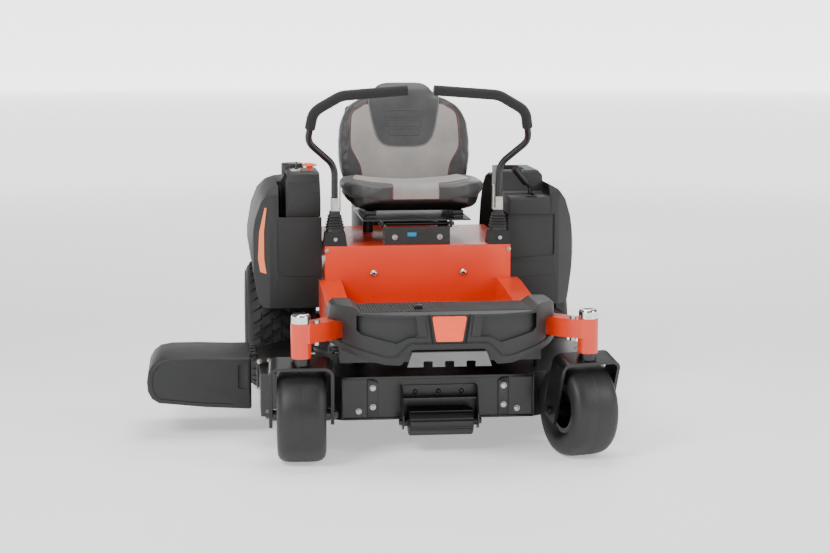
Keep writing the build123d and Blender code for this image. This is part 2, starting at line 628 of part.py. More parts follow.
def caster(name, side, yaw):
    """Caster fork with its spindle and axle, and the wheel that runs in it."""
    half = fork_w / 2
    drop = (fork_top_z - caster_tyre_r) / math.cos(math.radians(fork_tilt))
    strap = block((-half, half), (-fork_depth / 2, fork_depth / 2), (-drop - 26, 0))
    strap = fillet(strap.edges().filter_by(Axis.Y).group_by(Axis.Z)[-1], fork_bend_r)
    inner = block((-half + fork_strap, half - fork_strap), (-fork_depth, fork_depth),
                  (-drop - 30, -fork_strap))
    inner = fillet(inner.edges().filter_by(Axis.Y).group_by(Axis.Z)[-1], fork_bend_r - fork_strap)
    strap -= inner
    for low in strap.faces().sort_by(Axis.Z)[:2]:
        strap = fillet(low.edges().filter_by(Axis.X), 22) if low.area > 600 else strap
    strap = Pos(0, 0, fork_top_z) * Rot(X=fork_tilt) * strap
    wheel_y, wheel_z = caster_trail, caster_tyre_r
    strap -= rod(caster_axle_r + 0.2, (-half - 20, wheel_y, wheel_z), (half + 20, wheel_y, wheel_z))
    boss = rod(24, (0, 0, fork_top_z - 7), (0, 0, pivot_tube_z[0] - gap))
    fork = strap + boss + rod(spindle_r, (0, 0, fork_top_z - 8), (0, 0, pivot_tube_z[1] + 14))
    nut = hexagon(30, (0, 0, pivot_tube_z[1] + 0.5), (0, 0, pivot_tube_z[1] + 12))
    fork += nut
    axle = rod(caster_axle_r, (-half - 12, wheel_y, wheel_z), (half + 12, wheel_y, wheel_z))
    for end in (-1, 1):
        axle += hexagon(24, (end * half, wheel_y, wheel_z), (end * (half + 9), wheel_y, wheel_z))
    place = Pos(side * caster_x, 0, 0) * Rot(Z=yaw)
    keep("caster_fork_" + name, place * fork, place * axle)
    bead, hub = caster_rim_r, 20
    rim = turned([(caster_axle_r + fit, -84), (hub, -84), (hub, -5), (bead - 5, -5), (bead - 5, -54),
                  (bead + 9, -54), (bead + 9, -50), (bead, -47), (bead, 47), (bead + 9, 50),
                  (bead + 9, 54), (bead - 5, 54), (bead - 5, 5), (hub, 5), (hub, 84),
                  (caster_axle_r + fit, 84)], (0, wheel_y, wheel_z), (1, 0, 0))
    section = tyre_section(caster_tyre_r, caster_tyre_w / 2, bead, 46.5, 9)
    tyre = turned(section, (0, wheel_y, wheel_z), (1, 0, 0))
    keep("caster_rim_" + name, place * rim)
    keep("caster_tyre_" + name, place * tyre)


def rear_wheels():
    """Turf tyre, pressed rim, drive shaft and wheel nuts on each side."""
    for side, name in sides:
        place, out = (side * rear_x, rear_y, rear_tyre_r), (side, 0, 0)
        tyre = turned(tyre_section(rear_tyre_r, rear_tyre_w / 2, rear_rim_r, 82, 14), place, out)
        keep("rear_tyre_" + name, tyre)
        bead = rear_rim_r
        rim = turned([(24, 40), (78, 40), (bead - 6, 28), (bead - 6, -90), (bead + 12, -90),
                      (bead + 12, -86), (bead, -83), (bead, 83), (bead + 12, 86), (bead + 12, 90),
                      (bead - 6, 90), (bead - 6, 36), (80, 46), (24, 46)], place, out)
        hub = turned([(0, 62), (23.7, 62), (23.7, 40), (74, 40), (74, 34), (30, 34), (30, 8),
                      (drive_shaft_r, 8), (drive_shaft_r, 160 - rear_x), (0, 160 - rear_x)], place, out)
        keep("rear_rim_" + name, rim, hub)
        for count in range(lug_count):
            angle = math.radians(90 + 360 / lug_count * count)
            y = rear_y + lug_circle_r * math.cos(angle)
            z = rear_tyre_r + lug_circle_r * math.sin(angle)
            keep("rear_rim_" + name, hexagon(19, (side * (rear_x + 46), y, z), (side * (rear_x + 58), y, z)))


def transaxles():
    """Two hydrostatic drives hung under the rails, each with its axle horn and input pulley."""
    for side, _ in sides:
        case = block((side * 200, side * 286), (rear_y - 95, rear_y + 95), (rear_tyre_r - 62, rail_z))
        case = fillet(case.edges().filter_by(Axis.X), 18)
        case += rod(38, (side * 280, rear_y, rear_tyre_r), (side * 340, rear_y, rear_tyre_r))
        case += rod(26, (side * 280, rear_y, rear_tyre_r), (side * (rear_x + 4), rear_y, rear_tyre_r))
        case -= rod(drive_shaft_r + fit, (side * 158, rear_y, rear_tyre_r), (side * 460, rear_y, rear_tyre_r))
        keep("transaxles", case)


# ---------------------------------------------------------------- cutting deck
def inset(points, distance):
    """Corners of a counter-clockwise outline moved inwards by a distance."""
    moved = []
    for index, (x, y) in enumerate(points):
        before, after = points[index - 1], points[(index + 1) % len(points)]
        first = Vector(x - before[0], y - before[1]).normalized()
        second = Vector(after[0] - x, after[1] - y).normalized()
        bisector = Vector(-first.Y - second.Y, first.X + second.X)
        scale = 2 * distance / bisector.length ** 2
        moved.append((x + bisector.X * scale, y + bisector.Y * scale))
    return moved


def deck_shell():
    """Welded deck: top plate, and a skirt of straight plates with the discharge opening."""
    low, high = deck_z
    w = deck_half_w
    outline = [(-290, deck_front_y), (290, deck_front_y), (360, 222), (w, 260), (w, 720), (400, deck_rear_y),
               (-400, deck_rear_y), (-w, 720), (-w, 260), (-360, 222)]
    top = prism(outline, "z", high - sheet, high)
    for side, _ in sides:
        spot = (side * blade_x, blade_pitch_y[side])
        top -= rod(33, (*spot, low), (*spot, high + 1))
    keep("deck_shell", top)
    inner = inset(outline, sheet)
    for index, corner in enumerate(outline):
        after = (index + 1) % len(outline)
        wall = [corner, outline[after], inner[after], inner[index]]
        plate = prism(wall, "z", low, high - sheet)
        if corner == (-w, 720):
            plate -= block((-w - 5, -w + 20), discharge_y, (low - 1, discharge_top_z))
        keep("deck_shell", plate)


def deck_fittings():
    """Roller bracket, spindle housings, lift hangers and chute bracket bolted to the deck."""
    top = deck_z[1]
    half = roller_len / 2 + 14
    back = block((-half - sheet, half + sheet), (deck_front_y - 5, deck_front_y), (deck_z[0] + 4, 196))
    for side, _ in sides:
        ear = [(deck_front_y - 5, 196), (deck_front_y - 40, 196), (roller_y - 22, roller_z + 24),
               (roller_y - 22, roller_z - 16), (roller_y + 10, roller_z - 26),
               (deck_front_y - 5, deck_z[0] + 4)]
        back += prism(ear, "x", *sorted((side * half, side * (half + sheet))))
    back += block((-half, half), (roller_y + 8, deck_front_y - 2), (160, 164))
    back -= rod(roller_bolt_r + 0.2, (-200, roller_y, roller_z), (200, roller_y, roller_z))
    bolt = rod(roller_bolt_r, (-half - 14, roller_y, roller_z), (half + 14, roller_y, roller_z))
    for side, _ in sides:
        bolt += hexagon(18, (side * (half + sheet), roller_y, roller_z),
                        (side * (half + 13), roller_y, roller_z))
    keep("deck_fittings", back, bolt)
    for side, _ in sides:
        place = (side * blade_x, blade_pitch_y[side], 0)
        bore = blade_shaft_r + fit
        keep("deck_fittings", turned([(bore, 125), (30, 125), (32, top), (62, top), (62, top + 6),
                                      (bore, top + 6)], place))
        hanger_x = lift_arm_x + 6 + 0.5
        for y in [shaft_y + lift_arm for shaft_y in lift_shaft_y.values()]:
            hanger = block((side * hanger_x, side * (hanger_x + 5)), (y - 14, y + 14), (top, rail_z + 32))
            hanger -= rod(7, (side * 280, y, rail_z + 22), (side * 340, y, rail_z + 22))
            keep("deck_fittings", hanger)
    y0, y1 = chute_y
    hinge = block((-deck_half_w - 4, -deck_half_w + 40), (y0 + 40, y1 - 40), (top, top + 4))
    hinge += block((-deck_half_w - 6, -deck_half_w - 2), (y0 + 40, y1 - 40), (top - 14, top + 4))
    pin_x = -deck_half_w - 11
    for y in (y0 + 62, y1 - 82):
        lug = block((pin_x - 8, -deck_half_w), (y, y + 20), (chute_hinge_z - 8, chute_hinge_z + 8))
        hinge += lug + block((-deck_half_w - 6, -deck_half_w), (y, y + 20), (top - 2, chute_hinge_z))
    hinge += rod(chute_hinge_r, (pin_x, y0 + 30, chute_hinge_z), (pin_x, y1 - 30, chute_hinge_z))
    keep("deck_fittings", hinge)


def front_roller():
    """Fluted anti-scalp roller in front of the deck."""
    half = roller_len / 2
    roller = turned([(roller_bolt_r + fit, -half - 13), (13, -half - 13), (13, -half), (roller_r - 4, -half),
                     (roller_r, -half + 4), (roller_r, half - 4), (roller_r - 4, half), (13, half),
                     (13, half + 13), (roller_bolt_r + fit, half + 13)], (0, roller_y, roller_z), (1, 0, 0))
    for count in range(10):
        angle = math.radians(36 * count + 18)
        y = roller_y + (roller_r + 3) * math.cos(angle)
        z = roller_z + (roller_r + 3) * math.sin(angle)
        roller -= rod(6, (-half - 1, y, z), (half + 1, y, z))
    keep("front_roller", roller)


def blade_sets():
    """On each side a spindle shaft with its deck pulley, and the blade under it."""
    for side, name in sides:
        x, y = side * blade_x, blade_pitch_y[side]
        shaft = rod(blade_shaft_r, (x, y, blade_z), (x, y, belt_z + 18))
        pulley = pulley_wheel(deck_pulley_r, blade_shaft_r, (x, y, 0))
        half = blade_len / 2
        blade = block((-half, half), (-blade_w / 2, blade_w / 2), (blade_z - blade_t, blade_z))
        for end in (-1, 1):
            sail = prism([(8, blade_z - 1), (blade_w / 2, blade_z - 1), (blade_w / 2, blade_z + 16),
                          (blade_w / 2 - 4, blade_z + 16)], "x", half - 110, half)
            blade += sail if end > 0 else Rot(Z=180) * sail
        blade &= rod(half, (0, 0, 0), (0, 0, 200))
        blade = Pos(x, y, 0) * Rot(Z=20 * side) * blade
        bolt = hexagon(24, (x, y, blade_z - blade_t - 12), (x, y, blade_z - blade_t))
        keep("blade_set_" + name, shaft + pulley, blade, bolt)


def pulley_wheel(radius, bore, place):
    """Vee pulley in the belt's plane."""
    z = belt_z
    return turned([(bore - 1, z - 10), (radius + 6, z - 10), (radius + 6, z - 8), (radius - 4, z - 4),
                   (radius - 4, z + 4), (radius + 6, z + 8), (radius + 6, z + 10), (bore - 1, z + 10)], place)


def clutch():
    """Electric blade clutch and its pulley on the engine's crankshaft, under the engine plate."""
    place = (0, crank_y, 0)
    shape = pulley_wheel(clutch_pulley_r, crank_r, place)
    shape += turned([(0, 233), (crank_r, 233), (crank_r, 258), (52, 258), (52, 300), (crank_r, 300),
                     (crank_r, rail_top_z + 42), (0, rail_top_z + 42)], place)
    keep("clutch_pulley", shape)


def belt_and_covers():
    """Blade belt round the three pulleys, and a moulded cover over each deck pulley."""
    wheels = [(side * blade_x, blade_pitch_y[side], deck_pulley_r - 1) for side in (-1, 1)]
    wheels.append((0, crank_y, clutch_pulley_r - 1))
    outer, inner = [], []
    for grow, shapes in ((belt_t, outer), (0, inner)):
        corners = []
        for index, (x, y, r) in enumerate(wheels):
            nx, ny, nr = wheels[(index + 1) % 3]
            heading, span = math.atan2(ny - y, nx - x), math.hypot(nx - x, ny - y)
            turn = heading - math.pi / 2 - math.asin((nr - r) / span)
            reach = (math.cos(turn), math.sin(turn))
            corners.append((x + (r + grow) * reach[0], y + (r + grow) * reach[1]))
            corners.append((nx + (nr + grow) * reach[0], ny + (nr + grow) * reach[1]))
        shape = prism(corners, "z", belt_z - 3.4, belt_z + 3.4)
        for x, y, r in wheels:
            shape += rod(r + grow, (x, y, belt_z - 3.4), (x, y, belt_z + 3.4))
        shapes.append(shape)
    keep("deck_belt", outer[0] - inner[0])
    top = deck_z[1]
    for side, _ in sides:
        x, y = side * blade_x, blade_pitch_y[side]
        cover = rod(cover_r, (x, y, top), (x, y, cover_top_z))
        cover = fillet(cover.edges().sort_by(Axis.Z)[-1], 8)
        cover -= rod(cover_r - 4, (x, y, top - 1), (x, y, cover_top_z - 2.5))
        cover -= block((x - cover_r - 4, x + cover_r + 4), (y + 10, y + 130), (top - 1, belt_z + 12))
        cover -= block((-side * 400, side * (blade_x - 15)), (y - cover_r - 4, y + cover_r + 4),
                       (top - 1, belt_z + 12))
        keep("belt_covers", cover)


def chute():
    """Moulded discharge chute, open underneath and towards the deck, on its hinge."""
    y0, y1 = chute_y
    inner_x = -deck_half_w - 24
    low_z = 84
    view = [(inner_x, 246), (-790, 250), (-846, 238), (-chute_reach, 196), (-chute_reach, 132),
            (-852, 108), (-700, 92), (inner_x, low_z)]
    hollow = [(inner_x + 1, 246 - chute_wall), (-788, 250 - chute_wall), (-843, 233.5),
              (-chute_reach + chute_wall, 194), (-chute_reach + chute_wall, 60), (inner_x + 1, 60)]
    shape = prism(view, "y", y0, y1)
    shape -= prism(hollow, "y", y0 + chute_wall, y1 - chute_wall)
    pin_x = -deck_half_w - 11
    for y in (y0 + 84, (y0 + y1) / 2 - 12, y1 - 108):
        ear = block((inner_x - 10, pin_x), (y, y + 24), (chute_hinge_z - 7, chute_hinge_z + 7))
        ear += rod(8, (pin_x, y, chute_hinge_z), (pin_x, y + 24, chute_hinge_z))
        shape += ear
    shape -= rod(chute_hinge_r + fit, (pin_x, y0, chute_hinge_z), (pin_x, y1, chute_hinge_z))
    keep("chute", shape)


def lift_shafts():
    """Two cross shafts through both rails, each with a pair of arms that raise the deck."""
    z, x = rail_z + rail_h / 2, lift_arm_x
    for name, y in lift_shaft_y.items():
        shaft = rod(lift_shaft_r, (-x, y, z), (x, y, z))
        for side, _ in sides:
            arm = block((side * x, side * (x + 6)), (y, y + lift_arm), (z - 10, z + 10))
            arm += rod(19, (side * x, y, z), (side * (x + 6), y, z))
            arm += rod(12, (side * x, y + lift_arm, z), (side * (x + 6), y + lift_arm, z))
            shaft += arm
        keep("lift_shaft_" + name, shaft)


# ---------------------------------------------------------------- engine
def engine():
    """Upright-shaft V-twin on the engine plate, with its cooling shroud and silencer."""
    base = rail_top_z + 5
    block_top = base + 140
    body = block((-125, 125), (crank_y - 115, crank_y + 110), (base, block_top))
    body = fillet(body.edges().filter_by(Axis.Z), 30)
    for side, _ in sides:
        barrel = block((60, 215), (-46, 46), (base + 40, base + 132))
        for count in range(9):
            x = 122 + 10 * count
            barrel += block((x, x + 4), (-60, 60), (base + 26, block_top - gap))
        barrel = Pos(0, crank_y, 0) * Rot(Z=90 - 48 * side) * barrel
        body += barrel
    body -= rod(crank_r + fit, (0, crank_y, base - 1), (0, crank_y, base + 40))
    body += rod(38, (-125, crank_y - 50, base + 50), (-195, crank_y - 50, base + 50))
    keep("engine_block", body)
    low, high = block_top, block_top + 165
    shroud = rod(160, (0, crank_y, low), (0, crank_y, high))
    shroud = fillet(shroud.edges().sort_by(Axis.Z)[-1], 26)
    hollow = rod(155, (0, crank_y, low - 1), (0, crank_y, high - 5))
    shroud -= fillet(hollow.edges().sort_by(Axis.Z)[-1], 21)
    for ring in (56, 78, 100, 122):
        for count in range(16):
            angle = math.radians(22.5 * count)
            spot = (ring * math.cos(angle), crank_y + ring * math.sin(angle))
            shroud -= rod(7, (*spot, high - 12), (*spot, high + 1))
    keep("engine_shroud", shroud)
    silencer = rod(46, (-130, 1716, base + 52), (130, 1716, base + 52))
    silencer = fillet(silencer.edges().filter_by(GeomType.CIRCLE), 12)
    for side, _ in sides:
        silencer += block((side * 60, side * 72), (1684, 1700), (base, base + 30))
    keep("muffler", silencer)


def rear_guard():
    """Tube guard round the engine, on a plate bolted to the outside of each rail."""
    x, z = rail_out_x + 6 + 16, rail_top_z + 100
    points = [(-x, 1490, z), (-x, 1768, z), (x, 1768, z), (x, 1490, z)]
    guard = bent_bar(points, [70, 70], 16)
    for side, _ in sides:
        plate = [(1500, rail_z + 4), (1660, rail_z + 4), (1660, z + 4), (1500, z + 4)]
        guard += prism(plate, "x", *sorted((side * rail_out_x, side * (rail_out_x + 8))))
    keep("rear_guard", guard)


def fit_and_write():
    """Move the model onto its origin and write one file for each node."""
    whole = Compound([piece for pieces in nodes.values() for piece in pieces]).bounding_box()
    shift = (-(whole.min.X + whole.max.X) / 2, -(whole.min.Y + whole.max.Y) / 2, -whole.min.Z)
    os.makedirs("parts", exist_ok=True)
    for name, pieces in nodes.items():
        placed = [Pos(*shift) * piece for piece in pieces]
        export_step(Compound(placed) if len(placed) > 1 else placed[0], "parts/" + name + ".step")
    return shift


frame()
floor_pan()
caster_arms()
seat_pan()
side_brackets()
front_bumper()
fenders()
right_console()
left_console()
fuel_tank()
hand_controls()
lever_pivots_and_bolts()
battery()
seat_hinge()
seat_plate()
seat()
steering_levers()
lever_boots()
caster("left", 1, caster_yaw_left)
caster("right", -1, caster_yaw_right)
rear_wheels()
transaxles()
deck_shell()
deck_fittings()
front_roller()
blade_sets()
clutch()
belt_and_covers()
chute()
lift_shafts()
engine()
rear_guard()
origin_shift = fit_and_write()
print("origin moved by", origin_shift)
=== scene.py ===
"""Looks of a ride-on zero turn mower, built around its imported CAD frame.

Every size is in metres. Places come from the frame's own nodes.
"""
import json
import math

import bpy
import bmesh
from mathutils import Matrix, Vector


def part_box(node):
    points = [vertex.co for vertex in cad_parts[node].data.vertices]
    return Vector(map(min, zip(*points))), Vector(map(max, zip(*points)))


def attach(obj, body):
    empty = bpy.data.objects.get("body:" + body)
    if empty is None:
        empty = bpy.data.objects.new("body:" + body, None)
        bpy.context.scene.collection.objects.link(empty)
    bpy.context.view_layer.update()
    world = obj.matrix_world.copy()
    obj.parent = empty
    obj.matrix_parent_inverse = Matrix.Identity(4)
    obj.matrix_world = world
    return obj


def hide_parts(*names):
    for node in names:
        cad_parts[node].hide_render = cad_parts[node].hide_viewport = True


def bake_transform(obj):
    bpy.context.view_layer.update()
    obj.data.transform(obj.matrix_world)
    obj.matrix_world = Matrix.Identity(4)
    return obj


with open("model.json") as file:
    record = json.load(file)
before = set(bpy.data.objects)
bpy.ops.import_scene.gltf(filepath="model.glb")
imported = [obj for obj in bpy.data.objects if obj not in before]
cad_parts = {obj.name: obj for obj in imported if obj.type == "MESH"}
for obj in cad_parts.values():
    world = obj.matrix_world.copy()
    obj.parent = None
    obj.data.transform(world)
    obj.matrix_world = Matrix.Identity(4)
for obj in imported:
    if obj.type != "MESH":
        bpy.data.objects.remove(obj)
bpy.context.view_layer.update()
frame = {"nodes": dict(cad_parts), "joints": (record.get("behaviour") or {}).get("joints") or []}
MM = 0.001


# ---------------------------------------------------------------- places from the frame
def low(node):
    """Lowest corner of a CAD node."""
    return Vector(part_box(node)[0])


def high(node):
    """Highest corner of a CAD node."""
    return Vector(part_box(node)[1])


def middle(node):
    """Middle of a CAD node's box."""
    return (low(node) + high(node)) / 2


CENTRE_X = middle("caster_caps").x
PIVOT_Y = middle("caster_caps").y


def at(x, y, z):
    """Point from millimetres off the centre line, behind the caster pivots and above the ground."""
    return Vector((CENTRE_X + x * MM, PIVOT_Y + y * MM, z * MM))


def joint(name):
    """A joint of the record: a point on its axis, and the axis."""
    found = next(item for item in frame["joints"] if item["name"] == name)
    return Vector(found["pos_m"]), Vector(found["axis"])


# ---------------------------------------------------------------- materials
def rgb(code):
    """Linear colour from an sRGB hex value."""
    parts = [int(code[i:i + 2], 16) / 255 for i in (1, 3, 5)]
    return [c / 12.92 if c <= 0.04045 else ((c + 0.055) / 1.055) ** 2.4 for c in parts] + [1.0]


def add(material, kind, settings=None, **links):
    """One shader node with its settings, and its inputs linked or filled."""
    item = material.node_tree.nodes.new("ShaderNode" + kind)
    for name, value in (settings or {}).items():
        setattr(item, name, value)
    for name, value in links.items():
        socket = item.inputs[int(name[1:])] if name[0] == "i" and name[1:].isdigit() else \
            item.inputs[name.replace("_", " ")]
        if isinstance(value, bpy.types.NodeSocket):
            material.node_tree.links.new(value, socket)
        else:
            socket.default_value = value
    return item


def start_material(name):
    """Empty material with its shader, and the Object coordinates that its patterns read."""
    material = bpy.data.materials.new(name)
    material.use_nodes = True
    shader = material.node_tree.nodes["Principled BSDF"]
    coords = add(material, "TexCoord").outputs["Object"]
    return material, shader, coords


def ramp(material, source, stops):
    """Colour ramp over (position, hex colour) stops."""
    item = add(material, "ValToRGB", i0=source)
    ends = item.color_ramp.elements
    while len(ends) < len(stops):
        ends.new(0.5)
    for end, (position, code) in zip(ends, stops):
        end.position = position
        end.color = rgb(code)
    return item.outputs["Color"]


def wire(material, socket, target):
    """Link a node's output to a shader socket."""
    material.node_tree.links.new(socket, target)


def finish_surface(name, colours, roughness, grain_mm, bump_mm, metallic=0.0, coat=0.0, blotch_mm=120.0,
                   edge_wear=None, ior=None, sheen=0.0, bump_detail=3.0, spec=None):
    """Painted, moulded or plated surface: soft colour drift, uneven gloss and a fine grain in relief."""
    material, shader, coords = start_material(name)
    drift = add(material, "TexNoise", Vector=coords, Scale=1000 / blotch_mm, Detail=4.0, Roughness=0.6)
    grain = add(material, "TexNoise", Vector=coords, Scale=1000 / grain_mm, Detail=bump_detail, Roughness=0.65)
    colour = ramp(material, drift.outputs["Fac"], [(0.32, colours[0]), (0.68, colours[1])])
    if edge_wear:
        worn = add(material, "NewGeometry").outputs["Pointiness"]
        mask = add(material, "MapRange", i0=worn, i1=0.53, i2=0.60, i3=0.0, i4=0.75).outputs["Result"]
        mix = add(material, "Mix", {"data_type": "RGBA"}, i0=mask)
        wire(material, colour, mix.inputs[6])
        mix.inputs[7].default_value = rgb(edge_wear)
        colour = mix.outputs[2]
    wire(material, colour, shader.inputs["Base Color"])
    gloss = add(material, "MapRange", i0=drift.outputs["Fac"], i1=0.25, i2=0.75,
                i3=roughness - 0.05, i4=roughness + 0.07)
    wire(material, gloss.outputs["Result"], shader.inputs["Roughness"])
    bump = add(material, "Bump", Height=grain.outputs["Fac"], Strength=1.0, Distance=bump_mm * MM)
    wire(material, bump.outputs["Normal"], shader.inputs["Normal"])
    shader.inputs["Metallic"].default_value = metallic
    shader.inputs["Coat Weight"].default_value = coat
    shader.inputs["Coat Roughness"].default_value = 0.08
    shader.inputs["Sheen Weight"].default_value = sheen
    if ior:
        shader.inputs["IOR"].default_value = ior
    if spec is not None:
        shader.inputs["Specular IOR Level"].default_value = spec
    return material


# Powder coat on pressed steel: strong orange, glossy, with a faint orange-peel skin.
ORANGE_COAT = finish_surface("orange_powder_coat", ("#D62E00", "#E03802"), 0.30, 2.4, 0.05, coat=0.35,
                             blotch_mm=260, ior=1.5)
# Black powder coat: near black, semi-gloss, slightly rough grain.
BLACK_COAT = finish_surface("black_powder_coat", ("#050506", "#0B0B0C"), 0.36, 1.6, 0.05, coat=0.15, ior=1.5)
# Satin grey powder coat of the skid plate.
GREY_COAT = finish_surface("grey_powder_coat", ("#626262", "#6C6C6C"), 0.5, 1.2, 0.05, ior=1.5)
# Moulded polypropylene with a fine spark-eroded texture, dark warm grey.
MOULDED_GREY = finish_surface("textured_polypropylene", ("#191A1A", "#212222"), 0.55, 1.1, 0.10,
                              blotch_mm=180, ior=1.49)
# Smooth black moulding of small covers and bases.
MOULDED_BLACK = finish_surface("black_abs", ("#080808", "#0E0E0E"), 0.42, 1.3, 0.06, ior=1.53)
# Glossy orange moulding of the knob.
MOULDED_ORANGE = finish_surface("orange_abs", ("#F24405", "#FF5210"), 0.28, 1.5, 0.02, coat=0.3, ior=1.53)
# Chrome plate on the caster caps.
CHROME = finish_surface("chrome_plate", ("#D8D8D6", "#E4E4E2"), 0.12, 3.0, 0.01, metallic=1.0)
# Zinc-plated bolts and links: pale, a little yellow, scratched.
ZINC = finish_surface("zinc_plate", ("#9C9A92", "#C4C2BA"), 0.32, 0.9, 0.04, metallic=1.0, blotch_mm=20)
# Sand-cast aluminium of the engine and the drives.
CAST_ALLOY = finish_surface("cast_aluminium", ("#77787A", "#8E8F90"), 0.55, 1.6, 0.18, metallic=0.85, blotch_mm=60)
# Gloss black wheel rims.
RIM_COAT = finish_surface("black_rim_paint", ("#0C0C0D", "#151516"), 0.26, 2.0, 0.03, coat=0.3, ior=1.5)
# Soft black rubber of the boots, belt and bumpers.
SOFT_RUBBER = finish_surface("soft_black_rubber", ("#131313", "#1C1C1C"), 0.6, 1.4, 0.08, sheen=0.1, ior=1.52)
# Closed-cell foam of the lever grips: dull, finely pitted.
FOAM = finish_surface("foam_grip", ("#161616", "#202020"), 0.78, 0.9, 0.16, sheen=0.15, ior=1.4)
# Tyre rubber, dark with a faint brown bloom.
TYRE = finish_surface("tyre_rubber", ("#0D0D0D", "#171615"), 0.62, 1.8, 0.12, blotch_mm=90, ior=1.52)
# Galvanised tension spring wire.
BRIGHT_WIRE = finish_surface("bright_spring_wire", ("#A8A8A6", "#C8C8C6"), 0.25, 0.8, 0.02, metallic=1.0)
# Silencer steel, heat-dulled.
SILENCER = finish_surface("heat_dulled_steel", ("#2B2826", "#4A4440"), 0.55, 1.5, 0.08, metallic=0.6, blotch_mm=70)
# Blue nylon connector.
BLUE_NYLON = finish_surface("blue_nylon", ("#14749C", "#1A86B5"), 0.4, 1.2, 0.03, ior=1.53)
# Pale blank foil plate.
BLANK_FOIL = finish_surface("blank_foil_plate", ("#8E8E8A", "#A8A8A4"), 0.35, 1.0, 0.02, metallic=0.4)
# Fluorescent pale-orange trim stripe.
TRIM_STRIPE = finish_surface("orange_trim_film", ("#FF7A48", "#FF8654"), 0.4, 2.0, 0.01, ior=1.5)
# Solid caster rubber, smoother and a shade greyer than the turf tyres.
TYRE_SLICK = finish_surface("solid_caster_rubber", ("#0F0F0F", "#191918"), 0.5, 2.2, 0.05, blotch_mm=70, ior=1.52)
# Charcoal vinyl of the seat, leather-grained.
VINYL_DARK = finish_surface("charcoal_seat_vinyl", ("#262626", "#333333"), 0.5, 1.5, 0.10, blotch_mm=60, sheen=0.2,
                            ior=1.5)
# Lighter charcoal vinyl of the centre tongue.
VINYL_MID = finish_surface("grey_seat_vinyl", ("#2E2E2E", "#3A3A3A"), 0.48, 1.5, 0.10, blotch_mm=50, sheen=0.2, ior=1.5)
# Pale grey perforated-look fabric of the inserts: a tight weave with a faint warm drift.
VINYL_LIGHT = finish_surface("pale_grey_seat_fabric", ("#7E7A76", "#908B87"), 0.72, 1.2, 0.14, blotch_mm=110,
                             sheen=0.35, ior=1.45)
# Pale grey welt round the tongue.
VINYL_LIGHT_EDGE = finish_surface("grey_welt_vinyl", ("#5E5E5E", "#707070"), 0.45, 1.2, 0.05, ior=1.5)
# Red sewing thread.
THREAD_RED = finish_surface("red_polyester_thread", ("#9A3434", "#B04848"), 0.6, 0.6, 0.05, sheen=0.3, ior=1.5)
# Studio floor and backdrop, white. The floor glows with painted light from its own emission: weakest close to the
# machine, as painted shade round it, and rising to full strength far off.
STUDIO_FLOOR = finish_surface("white_studio_floor", ("#F4F4F4", "#F6F6F6"), 0.6, 40.0, 0.0)
floor_tree = STUDIO_FLOOR.node_tree
floor_place = floor_tree.nodes.new("ShaderNodeTexCoord")
floor_reach = floor_tree.nodes.new("ShaderNodeVectorMath")
floor_reach.operation = "LENGTH"
floor_painted_glow = floor_tree.nodes.new("ShaderNodeMapRange")
# Emission strength by distance from the origin: 0.5 near the machine (painted shade), 1.9 from 9 m out (painted glow).
for socket, value in (("From Min", 2.2), ("From Max", 9.0), ("To Min", 0.5), ("To Max", 1.9)):
    floor_painted_glow.inputs[socket].default_value = value
floor_tree.links.new(floor_place.outputs["Object"], floor_reach.inputs[0])
floor_tree.links.new(floor_reach.outputs["Value"], floor_painted_glow.inputs["Value"])
for floor_node in floor_tree.nodes:
    if floor_node.type == "BSDF_PRINCIPLED":
        floor_node.inputs["Emission Color"].default_value = (1.0, 1.0, 1.0, 1.0)
        floor_tree.links.new(floor_painted_glow.outputs["Result"], floor_node.inputs["Emission Strength"])


# ---------------------------------------------------------------- modelling tools
def idle():
    """Object mode with nothing selected."""
    if bpy.context.mode != "OBJECT":
        bpy.ops.object.mode_set(mode="OBJECT")
    bpy.ops.object.select_all(action="DESELECT")


def choose(*pieces):
    """Select these pieces alone, the first one active."""
    idle()
    for piece in pieces:
        piece.select_set(True)
    bpy.context.view_layer.objects.active = pieces[0]
    return pieces[0]


def settle(name):
    """Name the new primitive and put its place into its mesh."""
    piece = bpy.context.object
    piece.name = name
    bpy.ops.object.transform_apply(location=True, rotation=True, scale=True)
    return piece


def cube(name, x, y, z):
    """Box between two places on each axis, in millimetres."""
    idle()
    start, end = at(min(x), min(y), min(z)), at(max(x), max(y), max(z))
    bpy.ops.mesh.primitive_cube_add(size=1, location=(start + end) / 2, scale=end - start)
    return settle(name)


def rod(name, start, end, radius, tip=None, sides=32):
    """Round bar or cone between two points, in millimetres."""
    idle()
    start, end = at(*start), at(*end)
    run = end - start
    bpy.ops.mesh.primitive_cone_add(
        vertices=sides, radius1=radius * MM, radius2=(radius if tip is None else tip) * MM, depth=run.length,
        location=(start + end) / 2, rotation=run.to_track_quat("Z", "Y").to_euler())
    return settle(name)


def edit(piece, **tests):
    """Edit mode on a piece, with only the faces, edges or verts that pass a test selected."""
    choose(piece)
    bpy.ops.object.mode_set(mode="EDIT")
    bpy.ops.mesh.select_all(action="DESELECT")
    for kind, test in tests.items():
        bpy.ops.mesh.select_mode(type={"faces": "FACE", "edges": "EDGE", "verts": "VERT"}[kind])
        mesh = bmesh.from_edit_mesh(piece.data)
        for item in getattr(mesh, kind):
            item.select_set(bool(test(item)))
        bmesh.update_edit_mesh(piece.data)


